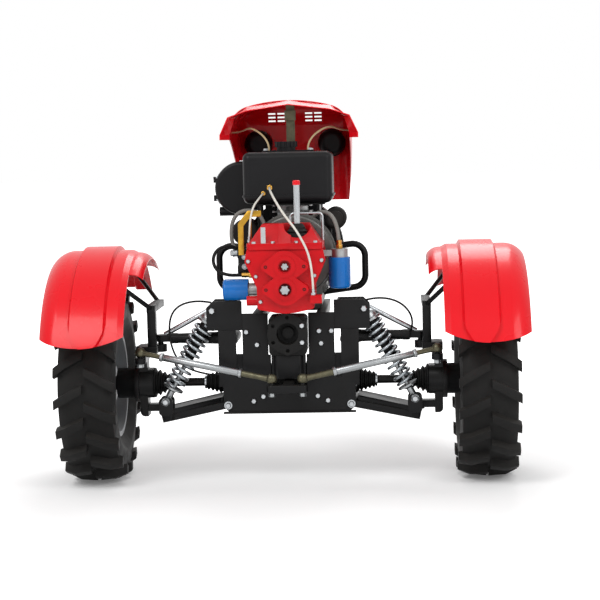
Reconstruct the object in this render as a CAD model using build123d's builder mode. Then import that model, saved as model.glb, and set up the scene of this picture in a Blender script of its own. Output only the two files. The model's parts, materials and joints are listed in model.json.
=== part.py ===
# Two-wheel power unit of a power tiller, seen from the coupling end.
# Millimetres. The origin is the centre of the coupling face, X right, Y forward, Z up.
import os
from math import cos, radians, sin
from build123d import *

os.makedirs("parts", exist_ok=True)

# Clearances
running_gap = 6.0
pin_gap = 0.5

# Wheels
axle_y = 160.0
axle_z = -183.0
half_track = 686.0
tyre_radius = 345.0
tyre_width = 196.0
shoulder_drop = 23.0
lug_overhang = 7.0
lug_count = 18
lug_height = 26.0
lug_width = 28.0
lug_sweep = 52.0
lug_skirt = 59.0
bead_half = 66.0
rim_radius = 178.0
rim_width = 140.0
rim_wall = 5.0
rim_lip = 12.0
well_half = 20.0
well_slope = 10.0
well_depth = 16.0
disc_place = 12.0
disc_thick = 8.0
disc_dish = 24.0
dish_inner = 92.0
dish_outer = 122.0
hand_hole_circle = 110.0
hand_hole = 20.0
hand_hole_count = 6
hub_radius = 62.0
hub_inboard = 58.0
hub_outboard = 34.0
spindle_radius = 25.0
spindle_reach = 26.0
hub_face = 70.0

# Steering
kingpin_x = half_track * 461 / 686
upper_ball_z = -50.0
lower_ball_z = -299.0
ball_stud_radius = 10.0
steer_arm_x = 53.0
steer_arm_length = 150.0
pivot_y = 72.0
inner_rod_z = -145.0
outer_rod_z = -58.0
stud_radius = 8.0
rod_radius = 9.0
rod_end_radius = 19.0
rod_end_height = 28.0
rod_end_lift = 1.0
rod_sleeve = 12.5
sleeve_start = 0.16
sleeve_end = 0.82
arm_drop = 20.0
arm_thick = 26.0
arm_half = 18.0
arm_boss = 18.0
steering_box_half = 50.0
steering_box_back = 20.0
steering_box_front = 90.0
box_flange_half = 60.0
box_flange_thick = 8.0
pivot_shaft_radius = 16.0

# Frame
plate_y = 47.0
plate_thick = 8.0
plate_corner = 18.0
lower_plate_half = 231.0
lower_plate_bottom = -275.0
lower_plate_top = -156.0
plate_lip = 16.0
plate_lip_thick = 5.0
upper_plate_half = 160.0
upper_plate_top = 69.0
wing_in = 182.0
wing_out = 245.0
wing_drop = 30.0
steering_window_half = 62.0
steering_window_drop = 36.0
coupling_window_half = 70.0
window_split = -76.0
front_plate_y = 265.0
lower_rail_in = 150.0
lower_rail_out = 180.0
lower_rail_top = -240.0
engine_rail_in = 95.0
engine_rail_out = 130.0
engine_rail_bottom = 22.0
rail_post = 20.0
cross_member = 40.0
tower_in = 172.0
tower_out = 284.0
tower_bottom = 11.0
tower_top = 113.0
tower_depth = 94.0
tower_corner = 22.0
sheet = 6.0

# Differential and half-shafts
diff_radius = 62.0
diff_half = 110.0
diff_taper = 22.0
diff_ring = 6.0
diff_ring_start = 56.0
diff_ring_end = 84.0
diff_mount_half = 40.0
diff_mount_height = 25.0
tube_radius = 46.0
tube_end = 150.0
inner_cup_radius = 46.0
inner_cup_end = 232.0
inner_boot_end = inner_cup_end + 73.0
shaft_radius = 15.0
shaft_end = kingpin_x - 21.0
outer_cup_start = kingpin_x + 26.0
cup_radius = 54.0
outer_boot_end = kingpin_x - 41.0
boot_neck = 22.0
boot_folds = 4
boot_step = 4.0
boot_seat = 0.2

# Coupling flange
flange_radius = 70.0
flange_lobe = 17.0
flange_thick = 18.0
flange_bore = 38.0
flange_bore_depth = 60.0
flange_pcd = 116.0
flange_holes = 6
flange_hole = 6.5
input_shaft_radius = 20.0
input_shaft_length = 20.0
coupling_case_half = 66.0
coupling_case_top = 60.0
coupling_case_front = 120.0
coupling_corner = 16.0
neck_half = 45.0
neck_start = 100.0
neck_bottom = -125.0
neck_top = -70.0

# Gearbox
gearbox_y = -50.0
gearbox_length = 190.0
gearbox_half = 138.0
gearbox_shoulder_z = 256.0
gearbox_top_half = 130.0
gearbox_waist = 98.0
gearbox_waist_z = 165.0
gearbox_foot_z = 92.0
gearbox_keel = 30.0
gearbox_keel_z = 78.0
gearbox_bottom = 76.0
gearbox_top = 295.0
gearbox_corner = 12.0
gearbox_wall_inset = 9.0
gearbox_rim = 18.0
cable_lug_x = 84.0
cable_lug_width = 40.0
cable_lug_depth = 46.0
cable_lug_reach = 26.0
cable_lug_z = 112.0
cable_lug_height = 27.0
side_boss_z = 120.0
side_boss_radius = 17.0
side_boss_end = 135.0
lid_flange = 22.0
lid_top = 379.0
lid_overhang = 6.0
lid_corner = 14.0
lid_foot_half = 122.0
lid_foot_inset = 13.0
lid_crown_half = 81.0
lid_crown_length = 90.0
lid_crown_inset = 17.0
lid_rib_half = 22.0
lid_rib_lift = 8.0
boot_seat_radius = 44.0
boot_seat_gap = 2.0
pto_lower_z = 160.0
pto_upper_z = 238.0
pto_cover_thick = 16.0
pto_upper_cap = 47.0
pto_lower_cap = 54.0
pto_ear = 65.0
pto_ear_radius = 15.0
pto_web = 24.0
pto_hole = 5.5
pto_collar = 30.0
pto_collar_lift = 8.0
pto_upper_bore = 19.0
pto_lower_bore = 21.0
pto_upper_shaft = 11.5
pto_lower_shaft = 15.5
pto_upper_reach = 20.0
pto_lower_reach = 44.0
spline_count = 6
spline_width = 6.0
spline_root = 2.5

# Gear lever and linkage
lever_x = 41.0
lever_y = 22.0
lever_foot = 330.0
lever_radius = 10.5
lever_top = 512.0
cap_radius = 13.0
cap_height = 16.0
gaiter_radius = 40.0
gaiter_neck = 18.0
gaiter_height = 50.0
linkage_x = 14.0
linkage_y = 90.0
linkage_rise = 33.0
linkage_span = 112.0
linkage_radius = 4.0
select_lever_x = -72.0
select_lever_width = 16.0
select_lever_thick = 6.0
select_lever_height = 55.0

# Engine
bell_length = 75.0
bell_radius = 142.0
bell_x = 20.0
bell_flange = 8.0
bell_flange_start = 30.0
bell_flange_thick = 14.0
crank_z = 262.0
crankcase_half = 115.0
crankcase_length = 385.0
crankcase_bottom = 62.0
crankcase_top = 300.0
crankcase_corner = 24.0
side_cover = 12.0
side_cover_back = 115.0
side_cover_length = 190.0
side_cover_bottom = 120.0
side_cover_top = 240.0
rib_thick = 8.0
rib_height = 9.0
rib_pitch = 44.0
cylinder_y = 530.0
cylinder_radius = 58.0
cylinder_top = 560.0
fin_half = 74.0
fin_depth = 66.0
fin_thick = 6.0
fin_count = 11
fin_foot = 10.0
fin_corner = 14.0
rocker_half = 62.0
rocker_depth = 52.0
rocker_height = 44.0
rocker_corner = 16.0
rocker_crown = 9.0
fan_radius = 185.0
fan_length = 90.0
duct_half = 108.0
duct_top = 505.0
duct_corner = 26.0
intake_radius = 120.0
intake_depth = 20.0
fan_hub = 52.0
spoke_count = 12
spoke_width = 7.0
guard_ring = 86.0
guard_ring_width = 6.0
alternator_x = 166.0
alternator_y = 262.0
alternator_z = 385.0
alternator_radius = 40.0
alternator_length = 88.0
pulley_radius = 27.0
pulley_width = 22.0
alternator_arm_x = 110.0
alternator_arm_width = 40.0
alternator_arm_y = 290.0
alternator_arm_z = 250.0
muffler_x = -176.0
muffler_z = 330.0
muffler_radius = 50.0
muffler_y = 470.0
muffler_length = 125.0
muffler_corner = 12.0
exhaust_y = 580.0
exhaust_z = 520.0
exhaust_radius = 14.0

# Tank and air cleaner
tank_half = 159.0
tank_front = 440.0
tank_depth = 230.0
tank_y = tank_front - tank_depth
tank_bottom = 442.0
tank_height = 184.0
tank_corner = 24.0
tank_seam = 4.0
tank_seam_z = 24.0
tank_seam_height = 8.0
tank_plate_half = 92.0
tank_plate_depth = 120.0
tank_plate_thick = 5.0
tank_cap_x = -8.0
tank_neck_radius = 34.0
tank_neck_height = 16.0
tank_cap_radius = 41.0
tank_cap_height = 20.0
tank_cap_grips = 16
tank_cap_grip = 4.0
bracket_half = 110.0
bracket_sheet = 8.0
bracket_shelf_half = 130.0
bracket_shelf = 6.0
bracket_inset = 20.0
bracket_length = 185.0
bracket_sink = 20.0
cleaner_x = -185.0
cleaner_y = 452.0
cleaner_z = 494.0
cleaner_radius = 97.0
cleaner_length = 110.0
cleaner_lid = 26.0
cleaner_step = 5.0
cleaner_dome = 10.0
outlet_radius = 24.0
outlet_y = 70.0
inlet_radius = 17.0
inlet_y = 60.0
inlet_z = 408.0
inlet_reach = 272.0
clamp_width = 22.0
clamp_height = 46.0
clamp_proud = 7.0

# Filters, guards, hoses and cable
oil_filter_y = 60.0
oil_filter_z = 152.0
oil_filter_radius = 37.0
oil_filter_start = 135.0
oil_filter_length = 88.0
oil_head_radius = 22.0
oil_head_root = 90.0
fuel_filter_x = 182.0
fuel_filter_y = 95.0
fuel_filter_z = 149.0
fuel_filter_radius = 38.0
fuel_filter_length = 108.0
fuel_head_radius = 30.0
fuel_head_height = 29.0
filter_corner = 9.0
head_arm_width = 30.0
head_arm_rise = 5.0
head_arm_height = 20.0
head_arm_root = 120.0
guard_x = 268.0
guard_y = 405.0
guard_root = 110.0
guard_low = 130.0
guard_high = 290.0
guard_sink = 20.0
guard_bend = 45.0
guard_radius = 12.0
hose_radius = 7.0
hose_rise = 412.0
left_hose_rise = 420.0
left_hose_out = -206.0
left_hose_end = 250.0
hose_bend = 42.0
throttle_y = 100.0
throttle_thick = 5.0
cable_radius = 4.0
cable_exit_z = 500.0
return_radius = 3.5

# Bonnet
bonnet_half = 222.0
bonnet_rear = 400.0
bonnet_front = 845.0
bonnet_top = 812.0
bonnet_bottom = 433.0
bonnet_sheet = 3.0
bonnet_shoulder_z = 690.0
bonnet_crown_half = 152.0
bonnet_crown_z = 792.0
bonnet_tuck = 16.0
bonnet_nose = 85.0
bonnet_nose_drop = 85.0
bonnet_plan_corner = 55.0
eaves_rear = 360.0
eaves_half = 252.0
eaves_top = 797.0
eaves_tip = 672.0
eaves_flare = 20.0
slot_width = 28.0
slot_height = 6.0
slot_pitch = 14.0
slot_z = 744.0
slot_columns = (-90.0, -54.0, 54.0, 90.0)
slot_rows = 3
grille_width = 130.0
grille_slot = 9.0
grille_pitch = 19.0
grille_z = 500.0
grille_rows = 5
lamp_x = 143.0
lamp_z = 656.0
lamp_radius = 54.0
lamp_bezel = 8.0
lamp_depth = 70.0
lamp_proud = 6.0
lens_thick = 6.0
stay_half = 16.0
stay_y = 498.0
stay_thick = 5.0
latch_half = 20.0
latch_depth = 22.0
latch_height = 36.0
wire_radius_lamp = 3.5
wire_x = 70.0
wire_y = 330.0

# Fenders
fender_in = half_track - 153.0
fender_out = half_track + 133.0
fender_radius = 440.0
fender_lift = 35.0
fender_sheet = 3.0
fender_skirt = 70.0
fender_inner_roll = 10.0
fender_outer_roll = 34.0
fender_outer_width = 62.0
fender_rear_angle = 12.0
fender_front_angle = 38.0
fender_tail_z = -8.0
fender_tail_rise = 34.0
panel_in = 50.0
panel_out = 92.0
panel_slope = 16.0
panel_lift = 14.0
panel_tail = 48.0
panel_bow = 26.0
lobe_reach = 46.0
lobe_drop = 22.0
lobe_arc = 62.0
post_x = kingpin_x + 6.0
post_width = 30.0
post_y = 84.0
post_depth = 32.0
post_top = 76.0
rail_front = 320.0
rail_height = 24.0
stay_radius = 8.0
stay_sink = 30.0
front_stay_angle = 58.0
rear_stay_angle = 128.0
front_stay_x = 620.0
rear_stay_x = 600.0

# Suspension
arm_pivot_x = 215.0
arm_pivot_z = -252.0
arm_bush_radius = 17.0
arm_ball_drop = 9.0
lower_arm_thick = 24.0
lower_arm_base = 98.0
lower_arm_corner = 9.0
foot_half = 24.0
foot_sheet = 6.0
foot_in = kingpin_x - 49.0
foot_out = kingpin_x + 1.0
foot_bottom = -290.0
foot_top = -225.0
upper_arm_in = 185.0
upper_arm_lift = 14.0
upper_arm_thick = 24.0
upper_arm_corner = 8.0
upper_bush_half = 20.0
brace_radius = 9.0
brace_top_x = 272.0
brace_top_z = 80.0
brace_foot_x = kingpin_x - 15.0
brace_foot_z = -12.0
shock_y = 94.0
shock_top_x = 264.0
shock_top_z = 80.0
shock_foot_x = kingpin_x - 24.0
shock_foot_z = -240.0
shock_eye = 16.0
shock_neck = 10.0
shock_cap_radius = 17.0
shock_body_radius = 18.0
shock_body_end = 210.0
shock_rod_radius = 8.0
spring_seat_radius = 37.0
spring_seat = 8.0
spring_radius = 31.0
wire_radius = 5.5
spring_turns = 9
spring_start = 52.0
spring_inset = 56.0

# Knuckles
upright_in = kingpin_x + 47.0
upright_out = upright_in + 28.0
upright_half = 32.0
upright_bottom = -300.0
upright_top = -46.0
knuckle_lug_in = kingpin_x - 15.0
knuckle_lug_half = 22.0
upper_lug = 26.0
lower_lug_bottom = -283.0
lower_lug = 25.0
upright_corner = 16.0
post_foot_in = kingpin_x + 4.0
post_foot_y = 82.0
post_foot_front = 140.0
carrier_flange = 68.0
carrier_flange_thick = 16.0
steer_lever_in = kingpin_x + 37.0
steer_lever_out = steer_lever_in + 32.0
steer_lever_front = 130.0
steer_lever_drop = 38.0
steer_lever_thick = 20.0
steer_lever_eye = 20.0


def pipe(points, bend, radius):
    with BuildPart() as run:
        with BuildLine() as path:
            FilletPolyline(*points, radius=bend)
        with BuildSketch(Plane(origin=path.line @ 0, z_dir=path.line % 0)):
            Circle(radius)
        sweep(path=path.line)
    return run.part


def bar(start, end, radius):
    with BuildPart() as rod:
        with BuildSketch(Plane(origin=start, z_dir=Vector(*end) - Vector(*start))):
            Circle(radius)
        extrude(amount=(Vector(*end) - Vector(*start)).length)
    return rod.part


def block(x0, x1, y0, y1, z0, z1, mode=Mode.ADD):
    with Locations(((x0 + x1) / 2, (y0 + y1) / 2, (z0 + z1) / 2)):
        Box(x1 - x0, y1 - y0, z1 - z0, mode=mode)


def drum_y(x, y0, y1, z, radius, mode=Mode.ADD):
    with Locations(Location((x, (y0 + y1) / 2, z), (90, 0, 0))):
        Cylinder(radius, y1 - y0, mode=mode)


def drum_x(x0, x1, y, z, radius, mode=Mode.ADD):
    with Locations(Location(((x0 + x1) / 2, y, z), (0, 90, 0))):
        Cylinder(radius, x1 - x0, mode=mode)


def drum_z(x, y, z0, z1, radius, mode=Mode.ADD):
    with Locations((x, y, (z0 + z1) / 2)):
        Cylinder(radius, z1 - z0, mode=mode)


# Rear plate: wide lower plate with a folded lip, narrower upper plate and two wings
plate_back = plate_y + plate_thick
wing_mid = (lower_plate_top - wing_drop + tower_bottom) / 2
wing_height = tower_bottom - lower_plate_top + wing_drop
window_bottom = lower_plate_top - steering_window_drop
with BuildPart() as rear_plate:
    with BuildSketch(Plane.XZ.offset(-plate_y)) as plate_outline:
        with Locations((0, (lower_plate_bottom + lower_plate_top) / 2)):
            Rectangle(2 * lower_plate_half, lower_plate_top - lower_plate_bottom)
        chamfer(plate_outline.vertices().group_by(Axis.Z)[-1], plate_corner)
        with Locations((0, (window_bottom + upper_plate_top) / 2)):
            Rectangle(2 * upper_plate_half, upper_plate_top - window_bottom)
        with Locations((-(wing_in + wing_out) / 2, wing_mid), ((wing_in + wing_out) / 2, wing_mid)):
            Rectangle(wing_out - wing_in, wing_height)
        with Locations((0, (window_bottom + window_split) / 2)):
            Rectangle(2 * steering_window_half, window_split - window_bottom, mode=Mode.SUBTRACT)
        with Locations((0, (window_split + upper_plate_top) / 2)):
            Rectangle(2 * coupling_window_half, upper_plate_top - window_split, mode=Mode.SUBTRACT)
    extrude(amount=-plate_thick)
    block(
        -lower_plate_half, lower_plate_half, plate_y - plate_lip, plate_back,
        lower_plate_bottom - plate_lip_thick, lower_plate_bottom,
    )
rear_plate.part.label = "rear_plate"
export_step(rear_plate.part, "parts/rear_plate.step")

# Ladder frame: lower rails, front plate and the two engine rails on their posts
gearbox_front = gearbox_y + gearbox_length
engine_rear = gearbox_front + bell_length
engine_front = engine_rear + crankcase_length
rail_end = engine_front + cross_member
with BuildPart() as frame_rails:
    block(lower_rail_in, lower_rail_out, plate_back, front_plate_y, lower_plate_bottom, lower_rail_top)
    block(engine_rail_in, engine_rail_out, plate_back, rail_end, engine_rail_bottom, crankcase_bottom)
    block(
        engine_rail_in, engine_rail_out, front_plate_y, front_plate_y + rail_post,
        lower_rail_top, engine_rail_bottom,
    )
    mirror(about=Plane.YZ)
    with BuildSketch(Plane.XZ.offset(-front_plate_y)) as front_outline:
        with Locations((0, (lower_plate_bottom + lower_plate_top) / 2)):
            Rectangle(2 * lower_plate_half, lower_plate_top - lower_plate_bottom)
        chamfer(front_outline.vertices(), plate_corner)
    extrude(amount=-plate_thick)
    block(
        -engine_rail_out, engine_rail_out, engine_front, rail_end, engine_rail_bottom, crankcase_bottom,
    )
frame_rails.part.label = "frame_rails"
export_step(frame_rails.part, "parts/frame_rails.step")

# Shock towers: folded boxes open at the top, the foot and the outer side
tower_front = plate_y + tower_depth + sheet
with BuildPart() as shock_towers:
    for wall_y, wall_in in ((plate_y, upper_plate_half), (plate_y + tower_depth, tower_in)):
        with BuildSketch(Plane.XZ.offset(-wall_y)):
            Polygon(
                (wall_in, tower_bottom), (tower_out, tower_bottom), (tower_out, tower_top - tower_corner),
                (tower_out - tower_corner, tower_top), (wall_in, tower_top), align=None,
            )
        extrude(amount=-sheet)
    block(tower_in, tower_in + sheet, plate_y, tower_front, tower_bottom, tower_top)
    mirror(about=Plane.YZ)
shock_towers.part.label = "shock_towers"
export_step(shock_towers.part, "parts/shock_towers.step")

# Differential: a tapered barrel with a joint ring, on its mount to the front plate
with BuildPart() as differential:
    with BuildSketch(Plane.XY.offset(axle_z)):
        Polygon(
            (-tube_end, axle_y), (-tube_end, axle_y + tube_radius), (-diff_half, axle_y + tube_radius),
            (diff_taper - diff_half, axle_y + diff_radius), (diff_ring_start, axle_y + diff_radius),
            (diff_ring_start, axle_y + diff_radius + diff_ring), (diff_ring_end, axle_y + diff_radius + diff_ring),
            (diff_ring_end, axle_y + diff_radius), (diff_half - diff_taper, axle_y + diff_radius),
            (diff_half, axle_y + tube_radius), (tube_end, axle_y + tube_radius), (tube_end, axle_y), align=None,
        )
    revolve(axis=Axis((0, axle_y, axle_z), (1, 0, 0)))
    block(
        -diff_mount_half, diff_mount_half, axle_y + diff_mount_half, front_plate_y,
        axle_z - diff_mount_height, axle_z + diff_mount_height,
    )
differential.part.label = "differential"
export_step(differential.part, "parts/differential.step")

# Coupling case: the black casting with the coupling flange and the neck to the differential
with BuildPart() as coupling_case:
    with BuildSketch(Plane.XZ):
        Circle(flange_radius)
        with PolarLocations(flange_pcd / 2, flange_holes, start_angle=30):
            Circle(flange_lobe)
    extrude(amount=-flange_thick)
    with BuildSketch(Plane.XZ.offset(-flange_thick)):
        with Locations((0, (window_split + coupling_case_top) / 2)):
            RectangleRounded(2 * coupling_case_half, coupling_case_top - window_split, coupling_corner)
    extrude(amount=flange_thick - coupling_case_front)
    block(-neck_half, neck_half, neck_start, axle_y, neck_bottom, neck_top)
    drum_y(0, 0, flange_bore_depth, 0, flange_bore, mode=Mode.SUBTRACT)
    with BuildSketch(Plane.XZ):
        with PolarLocations(flange_pcd / 2, flange_holes, start_angle=30):
            Circle(flange_hole)
    extrude(amount=-flange_thick, mode=Mode.SUBTRACT)
    drum_x(-tube_end, tube_end, axle_y, axle_z, diff_radius, mode=Mode.SUBTRACT)
    drum_y(0, flange_bore_depth - input_shaft_length, flange_bore_depth, 0, input_shaft_radius)
coupling_case.part.label = "coupling_case"
export_step(coupling_case.part, "parts/coupling_case.step")

# Steering box under the coupling case, with the pivot shaft below
arm_top = inner_rod_z - arm_drop
with BuildPart() as steering_box:
    with BuildSketch(Plane.XY.offset(arm_top + running_gap)):
        with Locations((0, (steering_box_back + steering_box_front) / 2)):
            RectangleRounded(2 * steering_box_half, steering_box_front - steering_box_back, coupling_corner)
    extrude(amount=window_split - arm_top - running_gap)
    block(
        -box_flange_half, box_flange_half, plate_y - box_flange_thick, plate_y,
        arm_top + arm_drop, window_split,
    )
    drum_z(0, pivot_y, arm_top, arm_top + running_gap, pivot_shaft_radius)
steering_box.part.label = "steering_box"
export_step(steering_box.part, "parts/steering_box.step")

# Gearbox case: a waisted casting with a rim at the rear and at the front
def case_profile(inset):
    with BuildSketch() as profile:
        Polygon(
            (-gearbox_top_half, gearbox_top), (-gearbox_half, gearbox_shoulder_z), (-gearbox_waist, gearbox_waist_z),
            (-gearbox_waist, gearbox_foot_z), (-gearbox_keel, gearbox_keel_z), (0, gearbox_bottom),
            (gearbox_keel, gearbox_keel_z), (gearbox_waist, gearbox_foot_z), (gearbox_waist, gearbox_waist_z),
            (gearbox_half, gearbox_shoulder_z), (gearbox_top_half, gearbox_top), align=None,
        )
        corners = profile.vertices().filter_by(lambda v: abs(v.X) > gearbox_keel and v.Y < gearbox_top)
        fillet(corners, gearbox_corner)
        if inset:
            offset(amount=-inset)
            with Locations((0, gearbox_top - inset)):
                Rectangle(2 * (gearbox_top_half - inset), 2 * inset)
    return profile.sketch


with BuildPart() as gearbox_case:
    with BuildSketch(Plane.XZ.offset(-gearbox_y)):
        add(case_profile(0))
    extrude(amount=-gearbox_rim)
    with BuildSketch(Plane.XZ.offset(-gearbox_y - gearbox_rim)):
        add(case_profile(gearbox_wall_inset))
    extrude(amount=2 * gearbox_rim - gearbox_length)
    with BuildSketch(Plane.XZ.offset(-gearbox_front + gearbox_rim)):
        add(case_profile(0))
    extrude(amount=-gearbox_rim)
    block(
        cable_lug_x, cable_lug_x + cable_lug_width, gearbox_y - cable_lug_reach,
        gearbox_y - cable_lug_reach + cable_lug_depth, cable_lug_z, cable_lug_z + cable_lug_height,
    )
    drum_x(-side_boss_end, -gearbox_keel, gearbox_y + cable_lug_reach, side_boss_z, side_boss_radius)
gearbox_case.part.label = "gearbox_case"
export_step(gearbox_case.part, "parts/gearbox_case.step")

# Gearbox lid: bolted flange, sloped hood with a rib, and the lever's seat
lid_deck = gearbox_top + lid_flange
lid_back = gearbox_y - lid_overhang
lid_front = gearbox_front - lid_overhang
with BuildPart() as gearbox_lid:
    with BuildSketch(Plane.XY.offset(gearbox_top)):
        with Locations((0, (lid_back + lid_front) / 2)):
            RectangleRounded(2 * gearbox_top_half, lid_front - lid_back, lid_corner)
    extrude(amount=lid_flange)
    with BuildSketch(Plane.XY.offset(lid_deck)):
        with Locations((0, (lid_back + lid_front) / 2)):
            Rectangle(2 * lid_foot_half, lid_front - lid_back - 2 * lid_foot_inset)
    with BuildSketch(Plane.XY.offset(lid_top)):
        with Locations((0, lid_front - lid_crown_inset - lid_crown_length / 2)):
            Rectangle(2 * lid_crown_half, lid_crown_length)
    loft(ruled=True)
    with BuildSketch(Plane.YZ.offset(-lid_rib_half)):
        Polygon(
            (lid_back + lid_rib_lift / 2, lid_deck), (lid_front - lid_crown_inset - lid_crown_length, lid_top),
            (lid_front - lid_crown_length / 2, lid_top), (lid_front - lid_crown_length / 2, lid_deck), align=None,
        )
    extrude(amount=2 * lid_rib_half)
    drum_z(lever_x, lever_y, lever_foot, lid_top, boot_seat_radius + boot_seat_gap, mode=Mode.SUBTRACT)
    drum_z(lever_x, lever_y, lid_deck, lever_foot, boot_seat_radius)
gearbox_lid.part.label = "gearbox_lid"
export_step(gearbox_lid.part, "parts/gearbox_lid.step")

# PTO cover: one casting with two bearing caps and four ears
ear_places = [(side * pto_ear, height) for side in (-1, 1) for height in (pto_upper_z, pto_lower_z)]
with BuildPart() as pto_cover:
    with BuildSketch(Plane.XZ.offset(-gearbox_y)):
        with Locations((0, pto_upper_z)):
            Circle(pto_upper_cap)
        with Locations((0, pto_lower_z)):
            Circle(pto_lower_cap)
        with Locations((0, pto_upper_z), (0, pto_lower_z)):
            Rectangle(2 * pto_ear, pto_web)
        with Locations(ear_places):
            Circle(pto_ear_radius)
        with Locations(ear_places):
            Circle(pto_hole, mode=Mode.SUBTRACT)
    extrude(amount=pto_cover_thick)
    collar_end = gearbox_y - pto_cover_thick - pto_collar_lift
    drum_y(0, collar_end, gearbox_y, pto_lower_z, pto_collar)
    drum_y(0, collar_end, gearbox_y, pto_lower_z, pto_lower_bore, mode=Mode.SUBTRACT)
    drum_y(0, collar_end, gearbox_y, pto_upper_z, pto_upper_bore, mode=Mode.SUBTRACT)
pto_cover.part.label = "pto_cover"
export_step(pto_cover.part, "parts/pto_cover.step")

# PTO shafts: two six-splined stubs
with BuildPart() as pto_shafts:
    for height, radius, length in (
        (pto_upper_z, pto_upper_shaft, pto_upper_reach), (pto_lower_z, pto_lower_shaft, pto_lower_reach),
    ):
        with BuildSketch(Plane.XZ.offset(-gearbox_y)):
            with Locations((0, height)):
                Circle(radius - spline_root)
            with Locations((0, height)):
                with PolarLocations(radius / 2, spline_count):
                    Rectangle(radius, spline_width)
        extrude(amount=length)
pto_shafts.part.label = "pto_shafts"
export_step(pto_shafts.part, "parts/pto_shafts.step")

# Shift lever with its rubber boot and red cap
boot_top = lever_foot + gaiter_height
gaiter_step = gaiter_height / 5
with BuildPart() as shift_boot:
    with BuildSketch(Plane.XZ.offset(-lever_y)):
        Polygon(
            (lever_x, lever_foot), (lever_x + gaiter_radius, lever_foot),
            (lever_x + gaiter_radius, lever_foot + 1.4 * gaiter_step),
            (lever_x + 0.82 * gaiter_radius, lever_foot + 1.9 * gaiter_step),
            (lever_x + 0.9 * gaiter_radius, lever_foot + 2.4 * gaiter_step),
            (lever_x + 0.7 * gaiter_radius, lever_foot + 3.2 * gaiter_step),
            (lever_x + 0.7 * gaiter_radius, lever_foot + 3.7 * gaiter_step),
            (lever_x + gaiter_neck, boot_top), (lever_x, boot_top), align=None,
        )
    revolve(axis=Axis((lever_x, lever_y, 0), (0, 0, 1)))
shift_boot.part.label = "shift_boot"
export_step(shift_boot.part, "parts/shift_boot.step")

with BuildPart() as gear_lever:
    drum_z(lever_x, lever_y, boot_top, lever_top, lever_radius)
gear_lever.part.label = "gear_lever"
export_step(gear_lever.part, "parts/gear_lever.step")

with BuildPart() as lever_cap:
    drum_z(lever_x, lever_y, lever_top, lever_top + cap_height, cap_radius)
    fillet(lever_cap.edges().sort_by(Axis.Z)[-1], cap_height / 3)
lever_cap.part.label = "lever_cap"
export_step(lever_cap.part, "parts/lever_cap.step")

# Shift linkage: bent rod on the lid and a small lever on the lid's flange
linkage_end = linkage_x + linkage_span
linkage_top = lid_top + linkage_rise
with BuildPart() as shift_linkage:
    add(
        pipe(
            [
                (linkage_x, linkage_y, lid_top), (linkage_x, linkage_y, linkage_top),
                (linkage_end, linkage_y, linkage_top), (linkage_end, linkage_y, lid_deck),
            ],
            3.5 * linkage_radius, linkage_radius,
        )
    )
    block(
        select_lever_x - select_lever_width / 2, select_lever_x + select_lever_width / 2,
        gearbox_y, gearbox_y + select_lever_thick, lid_deck, lid_deck + select_lever_height,
    )
shift_linkage.part.label = "shift_linkage"
export_step(shift_linkage.part, "parts/shift_linkage.step")

# Bell housing between gearbox and engine
with BuildPart() as bell_housing:
    drum_y(bell_x, gearbox_front, engine_rear, crank_z, bell_radius)
    fillet(bell_housing.edges().sort_by(Axis.Y)[0], bell_flange)
    flange_y = gearbox_front + bell_flange_start
    drum_y(bell_x, flange_y, flange_y + bell_flange_thick, crank_z, bell_radius + bell_flange)
bell_housing.part.label = "bell_housing"
export_step(bell_housing.part, "parts/bell_housing.step")

# Crankcase with its side covers and ribs
cover_y = engine_rear + side_cover_back
with BuildPart() as crankcase:
    block(-crankcase_half, crankcase_half, engine_rear, engine_front, crankcase_bottom, crankcase_top)
    fillet(crankcase.edges().filter_by(Axis.Y), crankcase_corner)
    block(
        -crankcase_half - side_cover, crankcase_half + side_cover, cover_y, cover_y + side_cover_length,
        side_cover_bottom, side_cover_top,
    )
    fillet(crankcase.edges().filter_by(Axis.X).group_by(SortBy.LENGTH)[0], side_cover)
    for rib in range(2):
        rib_y = engine_rear + rib_pitch * (rib + 0.5)
        block(
            -crankcase_half - rib_height, crankcase_half + rib_height, rib_y, rib_y + rib_thick,
            side_cover_bottom, side_cover_top,
        )
crankcase.part.label = "crankcase"
export_step(crankcase.part, "parts/crankcase.step")

# Finned cylinder and the rocker cover
fin_pitch = (cylinder_top - crankcase_top - fin_foot) / fin_count
with BuildPart() as cylinder:
    drum_z(0, cylinder_y, crankcase_top, cylinder_top, cylinder_radius)
    for fin in range(fin_count):
        with BuildSketch(Plane.XY.offset(crankcase_top + fin_foot + fin * fin_pitch)):
            with Locations((0, cylinder_y)):
                RectangleRounded(2 * fin_half, 2 * fin_depth, fin_corner)
        extrude(amount=fin_thick)
cylinder.part.label = "cylinder"
export_step(cylinder.part, "parts/cylinder.step")

rocker_top = cylinder_top + rocker_height
with BuildPart() as rocker_cover:
    with BuildSketch(Plane.XY.offset(cylinder_top)):
        with Locations((0, cylinder_y)):
            RectangleRounded(2 * rocker_half, 2 * rocker_depth, rocker_corner)
    extrude(amount=rocker_height)
    fillet(rocker_cover.faces().sort_by(Axis.Z)[-1].edges(), rocker_crown)
rocker_cover.part.label = "rocker_cover"
export_step(rocker_cover.part, "parts/rocker_cover.step")

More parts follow.
